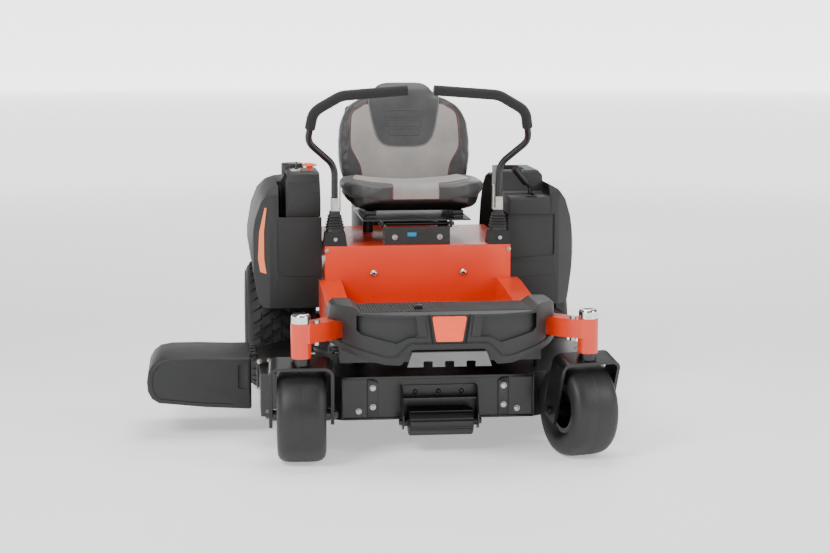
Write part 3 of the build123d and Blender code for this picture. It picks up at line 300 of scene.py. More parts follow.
def plate(name, points, axis, start, end):
    """Outline drawn on a filled circle and extruded along X, Y or Z."""
    idle()
    bpy.ops.mesh.primitive_circle_add(vertices=len(points), fill_type="NGON")
    piece = bpy.context.object
    piece.name = name
    for vert, (a, b) in zip(piece.data.vertices, points):
        vert.co = {"x": at(start, a, b), "y": at(a, start, b), "z": at(a, b, start)}[axis]
    run = {"x": (1, 0, 0), "y": (0, 1, 0), "z": (0, 0, 1)}[axis]
    edit(piece)
    bpy.ops.mesh.select_all(action="SELECT")
    bpy.ops.mesh.extrude_region_move(
        TRANSFORM_OT_translate={"value": [(end - start) * MM * part for part in run]})
    bpy.ops.mesh.select_all(action="SELECT")
    bpy.ops.mesh.normals_make_consistent(inside=False)
    idle()
    return piece


def spun(name, profile, centre, axis, steps=96):
    """Closed (radius, distance along the axis) outline in millimetres, spun round an axis in the frame."""
    idle()
    axis = axis.normalized()
    out = Vector((0, 0, 1)) if abs(axis.z) < 0.9 else Vector((1, 0, 0))
    out = (out - axis * out.dot(axis)).normalized()
    bpy.ops.mesh.primitive_circle_add(vertices=len(profile), fill_type="NOTHING")
    piece = bpy.context.object
    piece.name = name
    for vert, (radius, along) in zip(piece.data.vertices, profile):
        vert.co = centre + out * radius * MM + axis * along * MM
    edit(piece)
    bpy.ops.mesh.select_all(action="SELECT")
    bpy.ops.mesh.spin(steps=steps, angle=2 * math.pi, center=centre, axis=axis)
    bpy.ops.mesh.select_all(action="SELECT")
    bpy.ops.mesh.remove_doubles(threshold=0.00002)
    bpy.ops.mesh.normals_make_consistent(inside=False)
    idle()
    return piece


def modify(piece, kind, **settings):
    """Add a modifier and apply it."""
    choose(piece)
    modifier = piece.modifiers.new(kind, kind)
    for name, value in settings.items():
        setattr(modifier, name, value)
    bpy.ops.object.modifier_apply(modifier=modifier.name)
    return piece


def bevel(piece, width, segments=3, angle=28):
    """Round the edges that are sharper than an angle."""
    return modify(piece, "BEVEL", width=width * MM, segments=segments, limit_method="ANGLE",
                  angle_limit=math.radians(angle), harden_normals=False)


def carve(piece, *tools, operation="DIFFERENCE"):
    """Cut tools out of a piece, or keep what they share with it."""
    for tool in tools:
        modify(piece, "BOOLEAN", operation=operation, object=tool, solver="EXACT")
        bpy.data.objects.remove(tool)
    return piece


def merge(name, *pieces):
    """Several solids as one piece."""
    choose(*pieces)
    if len(pieces) > 1:
        bpy.ops.object.join()
    pieces[0].name = name
    return pieces[0]


def copy(piece, name, matrix=None):
    """Copy of a piece with its own mesh, moved by a matrix."""
    twin = piece.copy()
    twin.data = piece.data.copy()
    twin.name = name
    bpy.context.scene.collection.objects.link(twin)
    if matrix is not None:
        twin.data.transform(matrix)
        if matrix.determinant() < 0:
            twin.data.flip_normals()
    return twin


MIRROR = Matrix.Translation((CENTRE_X, 0, 0)) @ Matrix.Diagonal((-1, 1, 1, 1)) @ Matrix.Translation((-CENTRE_X, 0, 0))


def both(piece):
    """A piece joined with its mirror image across the centre line."""
    return merge(piece.name, piece, copy(piece, "twin", MIRROR))


def dress(piece, material, body, *replaced, slot=None, angle=35):
    """Smooth a finished piece, paint it and hang it on its body."""
    choose(piece)
    bpy.ops.object.shade_smooth_by_angle(angle=math.radians(angle))
    piece.data.materials.clear()
    piece.data.materials.append(material)
    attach(piece, body)
    if replaced:
        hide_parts(*replaced)
    return piece


def mirrored(points):
    """Half outline from the middle outwards, closed by its mirror image."""
    return list(points) + [(-x, z) for x, z in reversed(points) if x > 0]


def turn_about(origin, axis, degrees):
    """Matrix that turns about an axis through a point."""
    return (Matrix.Translation(origin) @ Matrix.Rotation(math.radians(degrees), 4, axis)
            @ Matrix.Translation(-origin))


def bolt_head(name, spot, axis, across=17.0, height=8.0, washer=True):
    """Hexagon head with a chamfer on a round washer, standing on a spot."""
    spot, axis = Vector(spot), Vector(axis).normalized()
    head = rod(name, spot + axis * 1.5, spot + axis * (1.5 + height), across / math.sqrt(3), sides=6)
    bevel(head, 1.0, 2)
    if washer:
        base = bevel(rod("washer", spot, spot + axis * 2.0, across * 0.72, sides=24), 0.4, 1)
        head = merge(name, head, base)
    return head


def lofted(name, rings, capped=True):
    """Closed skin through rings of points, each with the same count, in millimetres: extruded ring by ring."""
    idle()
    count = len(rings[0])
    bpy.ops.mesh.primitive_circle_add(vertices=count, fill_type="NOTHING")
    piece = bpy.context.object
    piece.name = name
    for vert, point in zip(piece.data.vertices, rings[0]):
        vert.co = at(*point)
    for ring in rings[1:]:
        edit(piece, verts=lambda vert: vert.index >= len(piece.data.vertices) - count)
        bpy.ops.mesh.extrude_region_move()
        idle()
        fresh = piece.data.vertices[-count:]
        for vert, point in zip(fresh, ring):
            vert.co = at(*point)
    edit(piece)
    if capped:
        bpy.ops.mesh.select_mode(type="EDGE")
        bpy.ops.mesh.select_non_manifold()
        bpy.ops.mesh.fill_holes(sides=0)
    bpy.ops.mesh.select_all(action="SELECT")
    bpy.ops.mesh.normals_make_consistent(inside=False)
    idle()
    return piece


# ---------------------------------------------------------------- tyres
def rear_tyre(side, name):
    """Turf tyre: ribbed carcass with three rows of angled lugs on each half of the tread."""
    body = "rear_wheel_" + name
    centre, axis = joint(body + "_spin")
    centre = Vector(middle("rear_tyre_" + name))
    crown, half, bead = 220.0, 118.0, 103.5
    outside = [(bead, 82), (114, 86), (128, 104), (146, 114), (165, half), (184, 117), (199, 111), (210, 100),
               (216, 84), (crown - 1, 60), (crown, 0)]
    outside += [(r, -w) for r, w in reversed(outside[:-1])]
    inside = [(r - 9 if abs(w) < 100 else r - 4, w * 0.88) for r, w in outside[1:-1]]
    tyre = spun("rear_tyre_" + name, outside + inside[::-1], centre, axis, steps=120)
    up = Vector((0, 0, 1))
    fore = axis.cross(up)

    def rolled(across, along, height):
        """Point on the tread from a place across the tyre, along it and above it, in millimetres."""
        droop = 34.0 * max(0.0, (abs(across) - 62.0) / 56.0) ** 2.2
        reach = (crown - droop + height) * MM
        angle = along / crown
        return centre + axis * across * MM + (up * math.cos(angle) + fore * math.sin(angle)) * reach

    lugs = []
    pitch = 2 * math.pi * crown / 34
    rows = [(4, 30, 24, 18, 15), (36, 66, 23, 6, 17), (72, 104, 22, -7, 20)]
    for inner, outer, length, rake, skew in rows:
        idle()
        bpy.ops.mesh.primitive_cube_add(size=1)
        lug = bpy.context.object
        lug.scale = (outer - inner, length, 1)
        bpy.ops.object.transform_apply(scale=True)
        modify(lug, "BEVEL", width=2.2, segments=1, limit_method="NONE", affect="EDGES")
        edit(lug)
        bpy.ops.mesh.select_all(action="SELECT")
        bpy.ops.mesh.bisect(plane_co=(0, 0, 0), plane_no=(1, 0, 0))
        idle()
        shape = [tuple(vert.co) for vert in lug.data.vertices]
        for half_side in (-1, 1):
            for count in range(34):
                twin = copy(lug, "lug")
                for vert, (x, y, z) in zip(twin.data.vertices, shape):
                    across = half_side * ((inner + outer) / 2 + x)
                    lean = x / (outer - inner) * skew
                    along = pitch * count + rake + lean + y * (0.94 if z > 0 else 1.0)
                    along += pitch / 2 if half_side < 0 else 0.0
                    height = 8.2 if z > 0 else -2.5
                    vert.co = rolled(across, along, height)
                if half_side * axis.cross(up).dot(fore) < 0:
                    twin.data.flip_normals()
                lugs.append(twin)
        bpy.data.objects.remove(lug)
    lugs = merge("lugs", *lugs)
    edit(lugs)
    bpy.ops.mesh.select_all(action="SELECT")
    bpy.ops.mesh.normals_make_consistent(inside=False)
    idle()
    tyre = merge("rear_turf_tyre_" + name, tyre, lugs)
    ribs = []
    for ring in (128, 133, 138, 176, 182):
        wall = 106.0 if ring < 140 else 117.6
        for end in (-1, 1):
            ribs.append(spun("rib", [(ring, end * wall), (ring + 1.2, end * (wall + 1.6)), (ring + 2.4, end * wall)],
                             centre, axis, steps=72))
    merge("rear_turf_tyre_" + name, tyre, *ribs)
    dress(tyre, TYRE, body, "rear_tyre_" + name, slot="tyre_rubber", angle=40)


def caster_tyre(name):
    """Smooth solid tyre with round shoulders, a moulding seam and rows of tiny vent dimples."""
    body = "caster_wheel_" + name
    centre, axis = joint(body + "_spin")
    outer, half, bead = 140.0, 71.5, 61.5
    outside = [(bead, 46), (66, 49), (74, 58), (84, 66), (97, 70.5), (108, half), (119, 70), (128, 65.5),
               (134, 58), (137.6, 48), (139.2, 34), (139.7, 18), (139.4, 1.6), (outer, 0.9)]
    outside += [(r, -w) for r, w in reversed(outside)]
    inside = [(r - 7, w * 0.86) for r, w in outside[2:-2]]
    tyre = spun("caster_slick_" + name, outside + inside[::-1], centre, axis, steps=128)
    up = Vector((0, 0, 1))
    fore = axis.cross(up).normalized()
    spews = []
    for row in (-38, -13, 13, 38):
        for count in range(24):
            angle = math.radians(15 * count + (7 if row > 0 else 0))
            out = up * math.cos(angle) + fore * math.sin(angle)
            idle()
            bpy.ops.mesh.primitive_ico_sphere_add(subdivisions=1, radius=1.1 * MM,
                                                  location=centre + out * 138.7 * MM + axis * row * MM)
            spews.append(settle("spew"))
    merge(tyre.name, tyre, *spews)
    dress(tyre, TYRE_SLICK, body, "caster_tyre_" + name, slot="tyre_rubber", angle=40)


# ---------------------------------------------------------------- front bumper
def front_bumper():
    """Moulded bumper: raised horns, sunk side panels, centre ridges, arched lower lip and ribbed tread."""
    left, top, back = 336.0, 449.0, 165.0
    view = mirrored([(0, top), (246, top), (268, 464), (280, 466), (316, 466), (329, 458), (left, 436), (left, 352),
                     (306, 336), (184, 304), (140, 304), (133, 310), (110, 345), (102, 348), (0, 348)])
    plan = [(0, -85), (110, -84), (156, -80), (214, -58), (262, -28), (318, 48), (330, 74), (left, 100), (left, back),
            (0, back)]

    def drawn_in(depth):
        """Plan outline moved inwards behind the front face."""
        return mirrored([(max(x - depth * 0.55, 0.0) if x > 200 else x, y + depth) for x, y in plan[:-2]]
                        + [(left - depth * 0.55, back + 20), (0, back + 20)])

    shell = plate("bumper", view, "y", -110, back)
    carve(shell, plate("plan", mirrored(plan), "z", 280, 480), operation="INTERSECT")
    panel = [(100, 442), (262, 442), (262, 400), (250, 388), (150, 367), (118, 384), (92, 384)]
    for flip in (1, -1):
        tool = plate("recess", [(x * flip, z) for x, z in panel], "y", -130, 60)
        carve(tool, plate("plan", drawn_in(11), "z", 280, 480))
        carve(shell, tool)
    for flip in (1, -1):
        groove = plate("groove", [(x * flip, z) for x, z in [(56, 452), (63, 452), (50, 366), (43, 366)]],
                       "y", -130, -78)
        carve(shell, groove)
    lip = mirrored([(0, 371), (108, 371), (122, 365), (152, 335), (176, 331), (300, 361), (left - 14, 382),
                    (left - 8, 384), (left - 8, 379), (304, 355), (176, 324), (148, 328), (119, 359), (106, 365),
                    (0, 365)])
    step = plate("step", lip, "y", -130, 120)
    carve(step, plate("plan", drawn_in(3.5), "z", 280, 480))
    carve(shell, step)
    hollow = plate("hollow", mirrored([(0, top - 7), (246, top - 7), (274, 458), (312, 458), (left - 7, 434),
                                       (left - 7, 290), (0, 290)]), "y", -110, back + 10)
    carve(hollow, plate("plan", drawn_in(19), "z", 270, 490), operation="INTERSECT")
    carve(shell, hollow)
    for flip in (1, -1):
        room = plate("arm_room", [(x * flip, y) for x, y in [(262, 62), (345, -30), (345, back + 20), (262, back + 20)]],
                     "z", 361.5, 417.5)
        carve(shell, room)
    bevel(shell, 3.2, 3, 24)
    dress(shell, MOULDED_GREY, "chassis", "front_bumper", slot="dark_plastic", angle=32)

    idle()
    bpy.ops.mesh.primitive_cube_add(size=1, location=at(-244, 66, 449.8), scale=(0.0044, 0.172, 0.0036))
    rib = settle("tread_ribs")
    bevel(rib, 1.1, 2)
    modify(rib, "ARRAY", count=62, use_relative_offset=False, use_constant_offset=True,
           constant_offset_displace=(0.008, 0, 0))
    dress(rib, MOULDED_GREY, "chassis", slot="dark_plastic")

    for flip in (1, -1):
        ridge = plate("centre_ridge", [(x * flip, z) for x, z in [(70, 447), (98, 447), (88, 385), (62, 385)]],
                      "y", -89, -70)
        bevel(ridge, 3.5, 3)
        dress(ridge, MOULDED_GREY, "chassis", slot="dark_plastic").name = \
            "bumper_ridge_" + ("left" if flip > 0 else "right")

    knob = bevel(cube("tread_latch", (-88, -64), (24, 50), (449, 462)), 2.5, 2)
    for offset in (-6, 0, 6):
        knob = merge("tread_latch", knob, bevel(cube("rib", (-76 + offset - 1, -76 + offset + 1), (22, 24.5),
                                                     (450, 461)), 0.6, 1))
    dress(knob, MOULDED_BLACK, "chassis", slot="black_plastic")


# ---------------------------------------------------------------- fenders
def fender(side, name):
    """Moulded wheel cover: crowned shell with a sharp shoulder line, a sunk front panel and a rolled lower edge."""
    inner, outer = 310.0, 541.0

    def view(wall):
        return [(inner - wall * 0.5, 334 + wall), (outer - 44 - wall, 334 + wall), (outer - 24 - wall, 352),
                (outer - 20 - wall, 372), (outer - wall, 500), (outer - wall, 540), (outer - 14 - wall, 630),
                (outer - 34 - wall, 688), (outer - 60 - wall, 722), (outer - 92 - wall, 740 - wall),
                (outer - 120, 745 - wall), (inner - wall * 0.5, 745 - wall)]

    def profile(wall):
        return [(806 + wall, 338 - wall), (800 + wall, 420), (800 + wall, 560), (803 + wall, 660), (812 + wall, 712),
                (832 + wall, 738 - wall), (860, 745 - wall), (1250, 745 - wall), (1330, 728 - wall),
                (1396 - wall, 692 - wall), (1452 - wall, 622), (1484 - wall, 540), (1490 - wall, 500),
                (1490 - wall, 428), (1462 - wall, 428), (1300, 428 if wall == 0 else 420), (1300, 338 - wall)]

    shell = plate("fender", view(0), "y", 790, 1500)
    carve(shell, plate("side", profile(0), "x", 300, 560), operation="INTERSECT")
    corner = plate("corner", [(outer + 10, 780), (outer + 10, 900), (outer - 8, 850), (outer - 60, 806),
                              (outer - 130, 790), (outer - 130, 780)], "z", 300, 800)
    carve(shell, corner)
    arch = rod("arch", (300, 1200, 228.5), (560, 1200, 228.5), 262, sides=96)
    console_back = 1190.6 if side > 0 else 1000.6
    well = cube("well", (300, 450.6), (700, console_back), (639.5, 900))
    carve(shell, arch, well)
    bevel(shell, 6, 4, 24)
    hollow = plate("hollow", view(4), "y", 790, 1500)
    carve(hollow, plate("side", profile(4), "x", 300, 560), operation="INTERSECT")
    carve(hollow, plate("corner", [(outer + 10, 780), (outer + 10, 906), (outer - 14, 856), (outer - 64, 811),
                                   (outer - 134, 795), (outer - 160, 780)], "z", 300, 800))
    carve(shell, hollow)
    carve(shell, rod("arch", (300, 1200, 228.5), (560, 1200, 228.5), 262, sides=96))
    if side < 0:
        carve(shell, rod("filler_hole", (394, 1040, 700), (394, 1040, 800), 40, sides=48))
        seam = [(308, 640), (456, 640), (456, 470), (450, 452), (432, 444), (308, 441), (308, 443.5), (431, 446.4),
                (448, 454), (453.4, 470), (453.4, 637.5), (308, 637.5)]
        carve(shell, plate("seam", seam, "y", 780, 802.5))
        choose(shell)
        shell.data.transform(MIRROR)
        shell.data.flip_normals()
    else:
        step = [(306, 626), (430, 634), (452, 640), (466, 640), (478, 560), (474, 520), (462, 504), (306, 492)]
        carve(shell, plate("step", step, "y", 780, 802.6))
        lower = [(306, 478), (470, 488), (494, 500), (500, 470), (497, 440), (306, 428)]
        carve(shell, plate("step", lower, "y", 780, 802.2))
    dress(shell, MOULDED_GREY, "chassis", "fender_" + name, slot="dark_plastic", angle=30)
    if side < 0:
        stripe = plate("stripe", [(-490, 670), (-496, 670), (-514, 590), (-519, 500), (-512, 456), (-492, 452),
                                  (-499, 500), (-499, 590)], "y", 780, 900)
        skin = copy(shell, "skin")
        modify(skin, "DISPLACE", strength=0.0012, mid_level=0.0)
        carve(stripe, skin, operation="INTERSECT")
        inner_skin = copy(shell, "skin")
        modify(inner_skin, "DISPLACE", strength=-0.0004, mid_level=0.0)
        carve(stripe, inner_skin)
        dress(stripe, TRIM_STRIPE, "chassis", slot="orange_plastic").name = "fender_stripe"


def consoles():
    """Right box with its chamfered outer face, left box with its storage well and gated lever slot."""
    right = plate("console", [(-450, 640), (-450, 716), (-436, 742), (-420, 778), (-410, 786), (-322, 788), (-316, 784),
                              (-313, 700), (-313, 640)], "y", 798, 1000)
    carve(right, plate("side", [(806, 640), (798, 668), (798, 752), (806, 780), (820, 788), (1000, 788), (1000, 640)],
                       "x", -460, -300), operation="INTERSECT")
    carve(right, plate("front_corner", [(-460, 790), (-460, 850), (-450, 846), (-426, 806), (-418, 797), (-418, 790)],
                       "z", 600, 800))
    bevel(right, 5, 3, 26)
    carve(right, cube("hollow", (-440, -318), (808, 990), (630, 775)))
    carve(right, cube("joint_line", (-460, -300), (780, 799.6), (752, 753.6)))
    carve(right, rod("key_hole", (-389, 855, 700), (-389, 855, 800), 18.5), rod("knob_hole", (-346, 850, 700),
                                                                                (-346, 850, 800), 6))
    dress(right, MOULDED_GREY, "chassis", "console_right", slot="dark_plastic", angle=30)

    side = [(798, 640), (798, 688), (804, 697), (812, 700), (932, 700), (940, 706), (956, 768), (962, 775), (1190, 775),
            (1190, 640)]
    left = plate("console", side, "x", 313, 450)
    carve(left, plate("front", [(313, 640), (313, 775), (436, 775), (450, 758), (450, 640)], "y", 780, 1200),
          operation="INTERSECT")
    bevel(left, 4.5, 3, 26)
    tub = bevel(cube("tub", (320, 398), (985, 1175), (690, 800)), 8, 3)
    slot = cube("slot", (385, 405), (808, 914), (660, 720))
    hollow = cube("hollow", (318, 444), (803, 930), (630, 694))
    carve(left, hollow, tub, slot)
    carve(left, cube("hollow", (402, 444), (970, 1184), (630, 768)))
    dress(left, MOULDED_GREY, "chassis", "console_left", slot="dark_plastic", angle=30)
    gate = []
    for count in range(9):
        y = 812 + 11 * count
        gate.append(bevel(cube("tooth", (374, 385), (y, y + 5), (696, 703)), 1.0, 2))
    frame_plate = cube("gate_plate", (372, 408), (804, 920), (700.2, 702))
    carve(frame_plate, cube("slot", (385, 404), (810, 914), (690, 710)))
    bevel(frame_plate, 0.6, 1)
    dress(merge("height_gate", frame_plate, *gate), MOULDED_BLACK, "chassis", slot="black_plastic")


# ---------------------------------------------------------------- discharge chute
def chute():
    """Moulded deflector: sloping top, rounded nose, a raised rim and a sunk window by the deck."""
    inner = -554.0
    view = [(inner, 246), (-620, 246), (-720, 250), (-800, 250), (-836, 244), (-858, 228), (-872, 204), (-876, 176),
            (-874, 146), (-862, 122), (-840, 108), (-700, 93), (inner, 84)]
    shell = plate("chute", view, "y", 405, 705)
    bevel(shell, 9, 4, 50)
    hollow = plate("hollow", [(inner + 5, 240), (-620, 240), (-720, 244), (-799, 244), (-832, 238), (-852, 224),
                              (-866, 202), (-870, 176), (-868, 146), (-860, 60), (inner + 5, 60)], "y", 410.5, 699.5)
    carve(shell, hollow)
    window = bevel(cube("window", (-596, -566), (380, 409.5), (150, 226)), 3, 2)
    carve(shell, window)
    rim = [(-838, 228), (-856, 206), (-861, 176), (-858, 148), (-848, 130), (-830, 120), (-700, 106), (-610, 101),
           (-610, 104.5), (-700, 109.5), (-829, 123.5), (-845, 132), (-854.5, 149), (-857.5, 176), (-853, 204.5),
           (-835.5, 225.5)]
    carve(shell, plate("rim_line", rim, "y", 380, 407.5))
    for y in (489, 543, 597):
        ear = cube("ear", (inner - 10, -541), (y, y + 24), (231, 245))
        ear = merge("ear", ear, rod("barrel", (-541, y, 238), (-541, y + 24, 238), 8))
        shell = merge("chute", shell, bevel(ear, 1.2, 2))
    dress(shell, MOULDED_GREY, "chute", "chute", slot="dark_plastic", angle=32)


# ---------------------------------------------------------------- seat
def swell(piece, voxel, pressure, cap, frames=16):
    """Blow a pad up a little with Cloth, with a limit on how far a point may move."""
    modify(piece, "REMESH", mode="VOXEL", voxel_size=voxel * MM)
    rest = [vert.co.copy() for vert in piece.data.vertices]
    choose(piece)
    cloth = piece.modifiers.new("Cloth", "CLOTH")
    cloth.settings.use_pressure = True
    cloth.settings.uniform_pressure_force = pressure
    cloth.settings.effector_weights.gravity = 0
    cloth.settings.quality = 4
    cloth.settings.tension_stiffness = 25
    cloth.settings.compression_stiffness = 25
    cloth.settings.bending_stiffness = 1.5
    for step in range(1, frames + 1):
        bpy.context.scene.frame_set(step)
    bpy.ops.object.modifier_apply(modifier=cloth.name)
    bpy.context.scene.frame_set(1)
    for vert, start in zip(piece.data.vertices, rest):
        move = vert.co - start
        if move.length > cap * MM:
            vert.co = start + move.normalized() * cap * MM


def softened(piece, voxel, rounds):
    """Round a hard block into an upholstered form."""
    modify(piece, "REMESH", mode="VOXEL", voxel_size=voxel * MM)
    return modify(piece, "SMOOTH", factor=0.6, iterations=rounds)


def kept_inside(piece, node, spare=0.0):
    """Hold a soft piece within its CAD block's box."""
    start, end = low(node), high(node)
    for vert in piece.data.vertices:
        for index in range(3):
            vert.co[index] = min(max(vert.co[index], start[index] - spare * MM), end[index] + spare * MM)


def panel(name, pad, outline, axis, span, lift, material, body, depth=6.0):
    """Skin panel sewn on a pad: the part of the pad's surface inside an outline, lifted off it with a rolled edge."""
    skin = copy(pad, "skin")
    modify(skin, "DISPLACE", strength=lift * MM, mid_level=0.0)
    cover = plate(name, outline, axis, *span)
    carve(cover, skin, operation="INTERSECT")
    core = copy(pad, "core")
    modify(core, "DISPLACE", strength=-depth * MM, mid_level=0.0)
    modify(core, "REMESH", mode="VOXEL", voxel_size=3.5 * MM)
    carve(cover, core)
    edit(cover, edges=lambda edge: len(edge.link_faces) == 2
         and edge.calc_face_angle(0.0) > math.radians(50))
    bpy.ops.mesh.bevel(offset=lift * 0.8 * MM, segments=2, affect="EDGES", clamp_overlap=True)
    idle()
    dress(cover, material, body, slot="seat_vinyl", angle=50)
    return cover


def smooth_line(points, steps=8, closed=False):
    """Even points on a smooth curve through given places."""
    count = len(points)
    line = []
    for index in range(count if closed else count - 1):
        p = [Vector(points[(index + shift) % count]) if closed
             else Vector(points[min(max(index + shift, 0), count - 1)]) for shift in (-1, 0, 1, 2)]
        for step in range(steps):
            t = step / steps
            line.append(0.5 * (2 * p[1] + (p[2] - p[0]) * t + (2 * p[0] - 5 * p[1] + 4 * p[2] - p[3]) * t * t
                               + (3 * p[1] - p[0] - 3 * p[2] + p[3]) * t ** 3))
    if not closed:
        line.append(Vector(points[-1]))
    return line


def on_surface(pad, start, way, lift=0.0):
    """Where a ray from a place meets a pad, lifted off it, with the normal there."""
    hit, spot, normal, _ = pad.ray_cast(start, way)
    return (spot + normal * lift * MM, normal) if hit else (None, None)


def sew(name, pad, points, way, material, body, pitch=6.5, length=4.4, radius=0.7, lift=1.2):
    """Row of thread stitches laid along a line on a pad, seen along a direction."""
    idle()
    bpy.ops.mesh.primitive_cylinder_add(vertices=6, radius=radius * MM, depth=length * MM)
    stitch = settle("stitch")
    for vert in stitch.data.vertices:
        if abs(vert.co.x) + abs(vert.co.y) > 0:
            vert.co.x *= 1.25
    row, spare = [], 0.0
    spots = [on_surface(pad, point, way, lift)[0] for point in points]
    for before, after in zip(spots, spots[1:]):
        if before is None or after is None:
            continue
        run = after - before
        while spare < run.length:
            spot = before + run.normalized() * spare
            row.append(copy(stitch, "stitch", Matrix.Translation(spot) @ run.to_track_quat("Z", "Y").to_matrix().to_4x4()))
            spare += pitch * MM
        spare -= run.length
    bpy.data.objects.remove(stitch)
    return dress(merge(name, *row), material, body, slot="seat_vinyl")


def cord_along(name, pad, points, way, radius, lift, material, body):
    """Piping laid along a line on a pad."""
    spots = [spot for spot in (on_surface(pad, point, way, lift)[0] for point in points) if spot is not None]
    curve = bpy.data.curves.new(name, "CURVE")
    curve.dimensions = "3D"
    curve.bevel_depth = radius * MM
    curve.bevel_resolution = 2
    curve.use_fill_caps = True
    spline = curve.splines.new("POLY")
    spline.points.add(len(spots) - 1)
    for point, spot in zip(spline.points, spots):
        point.co = (*spot, 1.0)
    piece = bpy.data.objects.new(name, curve)
    bpy.context.scene.collection.objects.link(piece)
    choose(piece)
    bpy.ops.object.convert(target="MESH")
    return dress(bpy.context.object, material, body, slot="seat_vinyl", angle=60)


def backrest():
    """Upholstered back: dark bolsters, pale insert, dark ribbed centre tongue, piping and red stitching."""
    front = [(0, 692), (176, 692), (204, 712), (218, 752), (224, 800), (223, 870), (217, 930), (206, 962), (186, 990),
             (160, 1006), (126, 1020), (106, 1030), (92, 1048), (78, 1059), (52, 1065), (0, 1066)]
    side = [(1132, 692), (1200, 692), (1222, 760), (1240, 880), (1262, 1020), (1266, 1046), (1260, 1062),
            (1242, 1066), (1222, 1060), (1208, 1044), (1180, 985), (1160, 900), (1146, 800)]
    pad = plate("backrest", mirrored(front), "y", 1080, 1300)
    carve(pad, plate("side", side, "x", -260, 260), operation="INTERSECT")
    softened(pad, 6.0, 5)
    for vert in pad.data.vertices:
        x = (vert.co.x - CENTRE_X) / MM
        y, z = (vert.co.y - PIVOT_Y) / MM, vert.co.z / MM
        facing = max(0.0, min(1.0, (1225 + (z - 760) * 0.16 - y) / 70.0))
        wing = max(0.0, (abs(x) - 110) / 115.0) ** 1.6 * max(0.0, min(1.0, (1000 - z) / 90.0))
        dish = max(0.0, 1 - (x / 120.0) ** 2) * max(0.0, min(1.0, (z - 700) / 60.0))
        vert.co.y -= facing * (wing * 16.0 - dish * 6.0) * MM
    swell(pad, 6.5, 3.0, 5.0)
    kept_inside(pad, "seat_backrest", 7.0)
    modify(pad, "SMOOTH", factor=0.5, iterations=3)
    modify(pad, "SUBSURF", levels=1, render_levels=1)
    dress(pad, VINYL_DARK, "seat", "seat_backrest", slot="seat_vinyl", angle=60)

    insert = smooth_line([(-146, 690, 0), (-148, 745, 0), (-156, 785, 0), (-174, 820, 0), (-186, 846, 0), (-187, 880, 0),
                          (-184, 930, 0), (-176, 962, 0), (-150, 980, 0), (-124, 990, 0), (0, 1000, 0), (124, 990, 0),
                          (150, 980, 0), (176, 962, 0), (184, 930, 0), (187, 880, 0), (186, 846, 0), (174, 820, 0),
                          (156, 785, 0), (148, 745, 0), (146, 690, 0)], 5)
    outline = [(p.x, p.y) for p in insert] + [(100, 680), (-100, 680)]
    panel("backrest_insert", pad, outline, "y", (1040, 1210), 1.6, VINYL_LIGHT, "seat")
    edge = [(p.x * 1.012, p.y + 1) for p in insert]
    ahead = Vector((0, 1, 0))
    for end, name in ((1, "left"), (-1, "right")):
        line = [at(x + 3 * end, 900, z) for x, z in edge if x * end > 118]
        sew("backrest_stitching_" + name, pad, line, ahead, THREAD_RED, "seat")
    tongue = smooth_line([(-126, 1012, 0), (-118, 960, 0), (-106, 905, 0), (-90, 868, 0), (-62, 848, 0), (0, 843, 0),
                          (62, 848, 0), (90, 868, 0), (106, 905, 0), (118, 960, 0), (126, 1012, 0)], 5)
    outline = [(p.x, p.y) for p in tongue] + [(108, 1034), (94, 1052), (70, 1062), (0, 1066), (-70, 1062), (-94, 1052),
                                              (-108, 1034)]
    cover = panel("backrest_tongue", pad, outline, "y", (1060, 1260), 3.4, VINYL_MID, "seat")
    cord_along("tongue_piping", cover, [at(p.x * 0.985, 900, p.y + 1.5) for p in tongue], ahead, 1.5, 0.2, VINYL_LIGHT_EDGE,
               "seat")
    for row, (wide, narrow, z) in enumerate(((70, 66, 958), (62, 58, 926), (54, 50, 895))):
        ring = [(-wide, z + 11), (wide, z + 11), (narrow, z - 11), (-narrow, z - 11), (-wide, z + 11)]
        fine = []
        for (x0, z0), (x1, z1) in zip(ring, ring[1:]):
            fine += [at(x0 + (x1 - x0) * t / 12, 900, z0 + (z1 - z0) * t / 12) for t in range(12)]
        cord_along("tongue_rib_%d" % (row + 1), cover, fine + fine[:1], ahead, 1.4, 0.1, VINYL_DARK, "seat")
    for end, name in ((1, "left"), (-1, "right")):
        line = smooth_line([at(end * 214, 900, 818), at(end * 204, 900, 838), at(end * 203, 900, 900),
                            at(end * 196, 900, 948), at(end * 172, 900, 988), at(end * 138, 900, 1008)], 6)
        cord_along("bolster_seam_" + name, pad, line, ahead, 1.6, 0.2, VINYL_DARK, "seat")


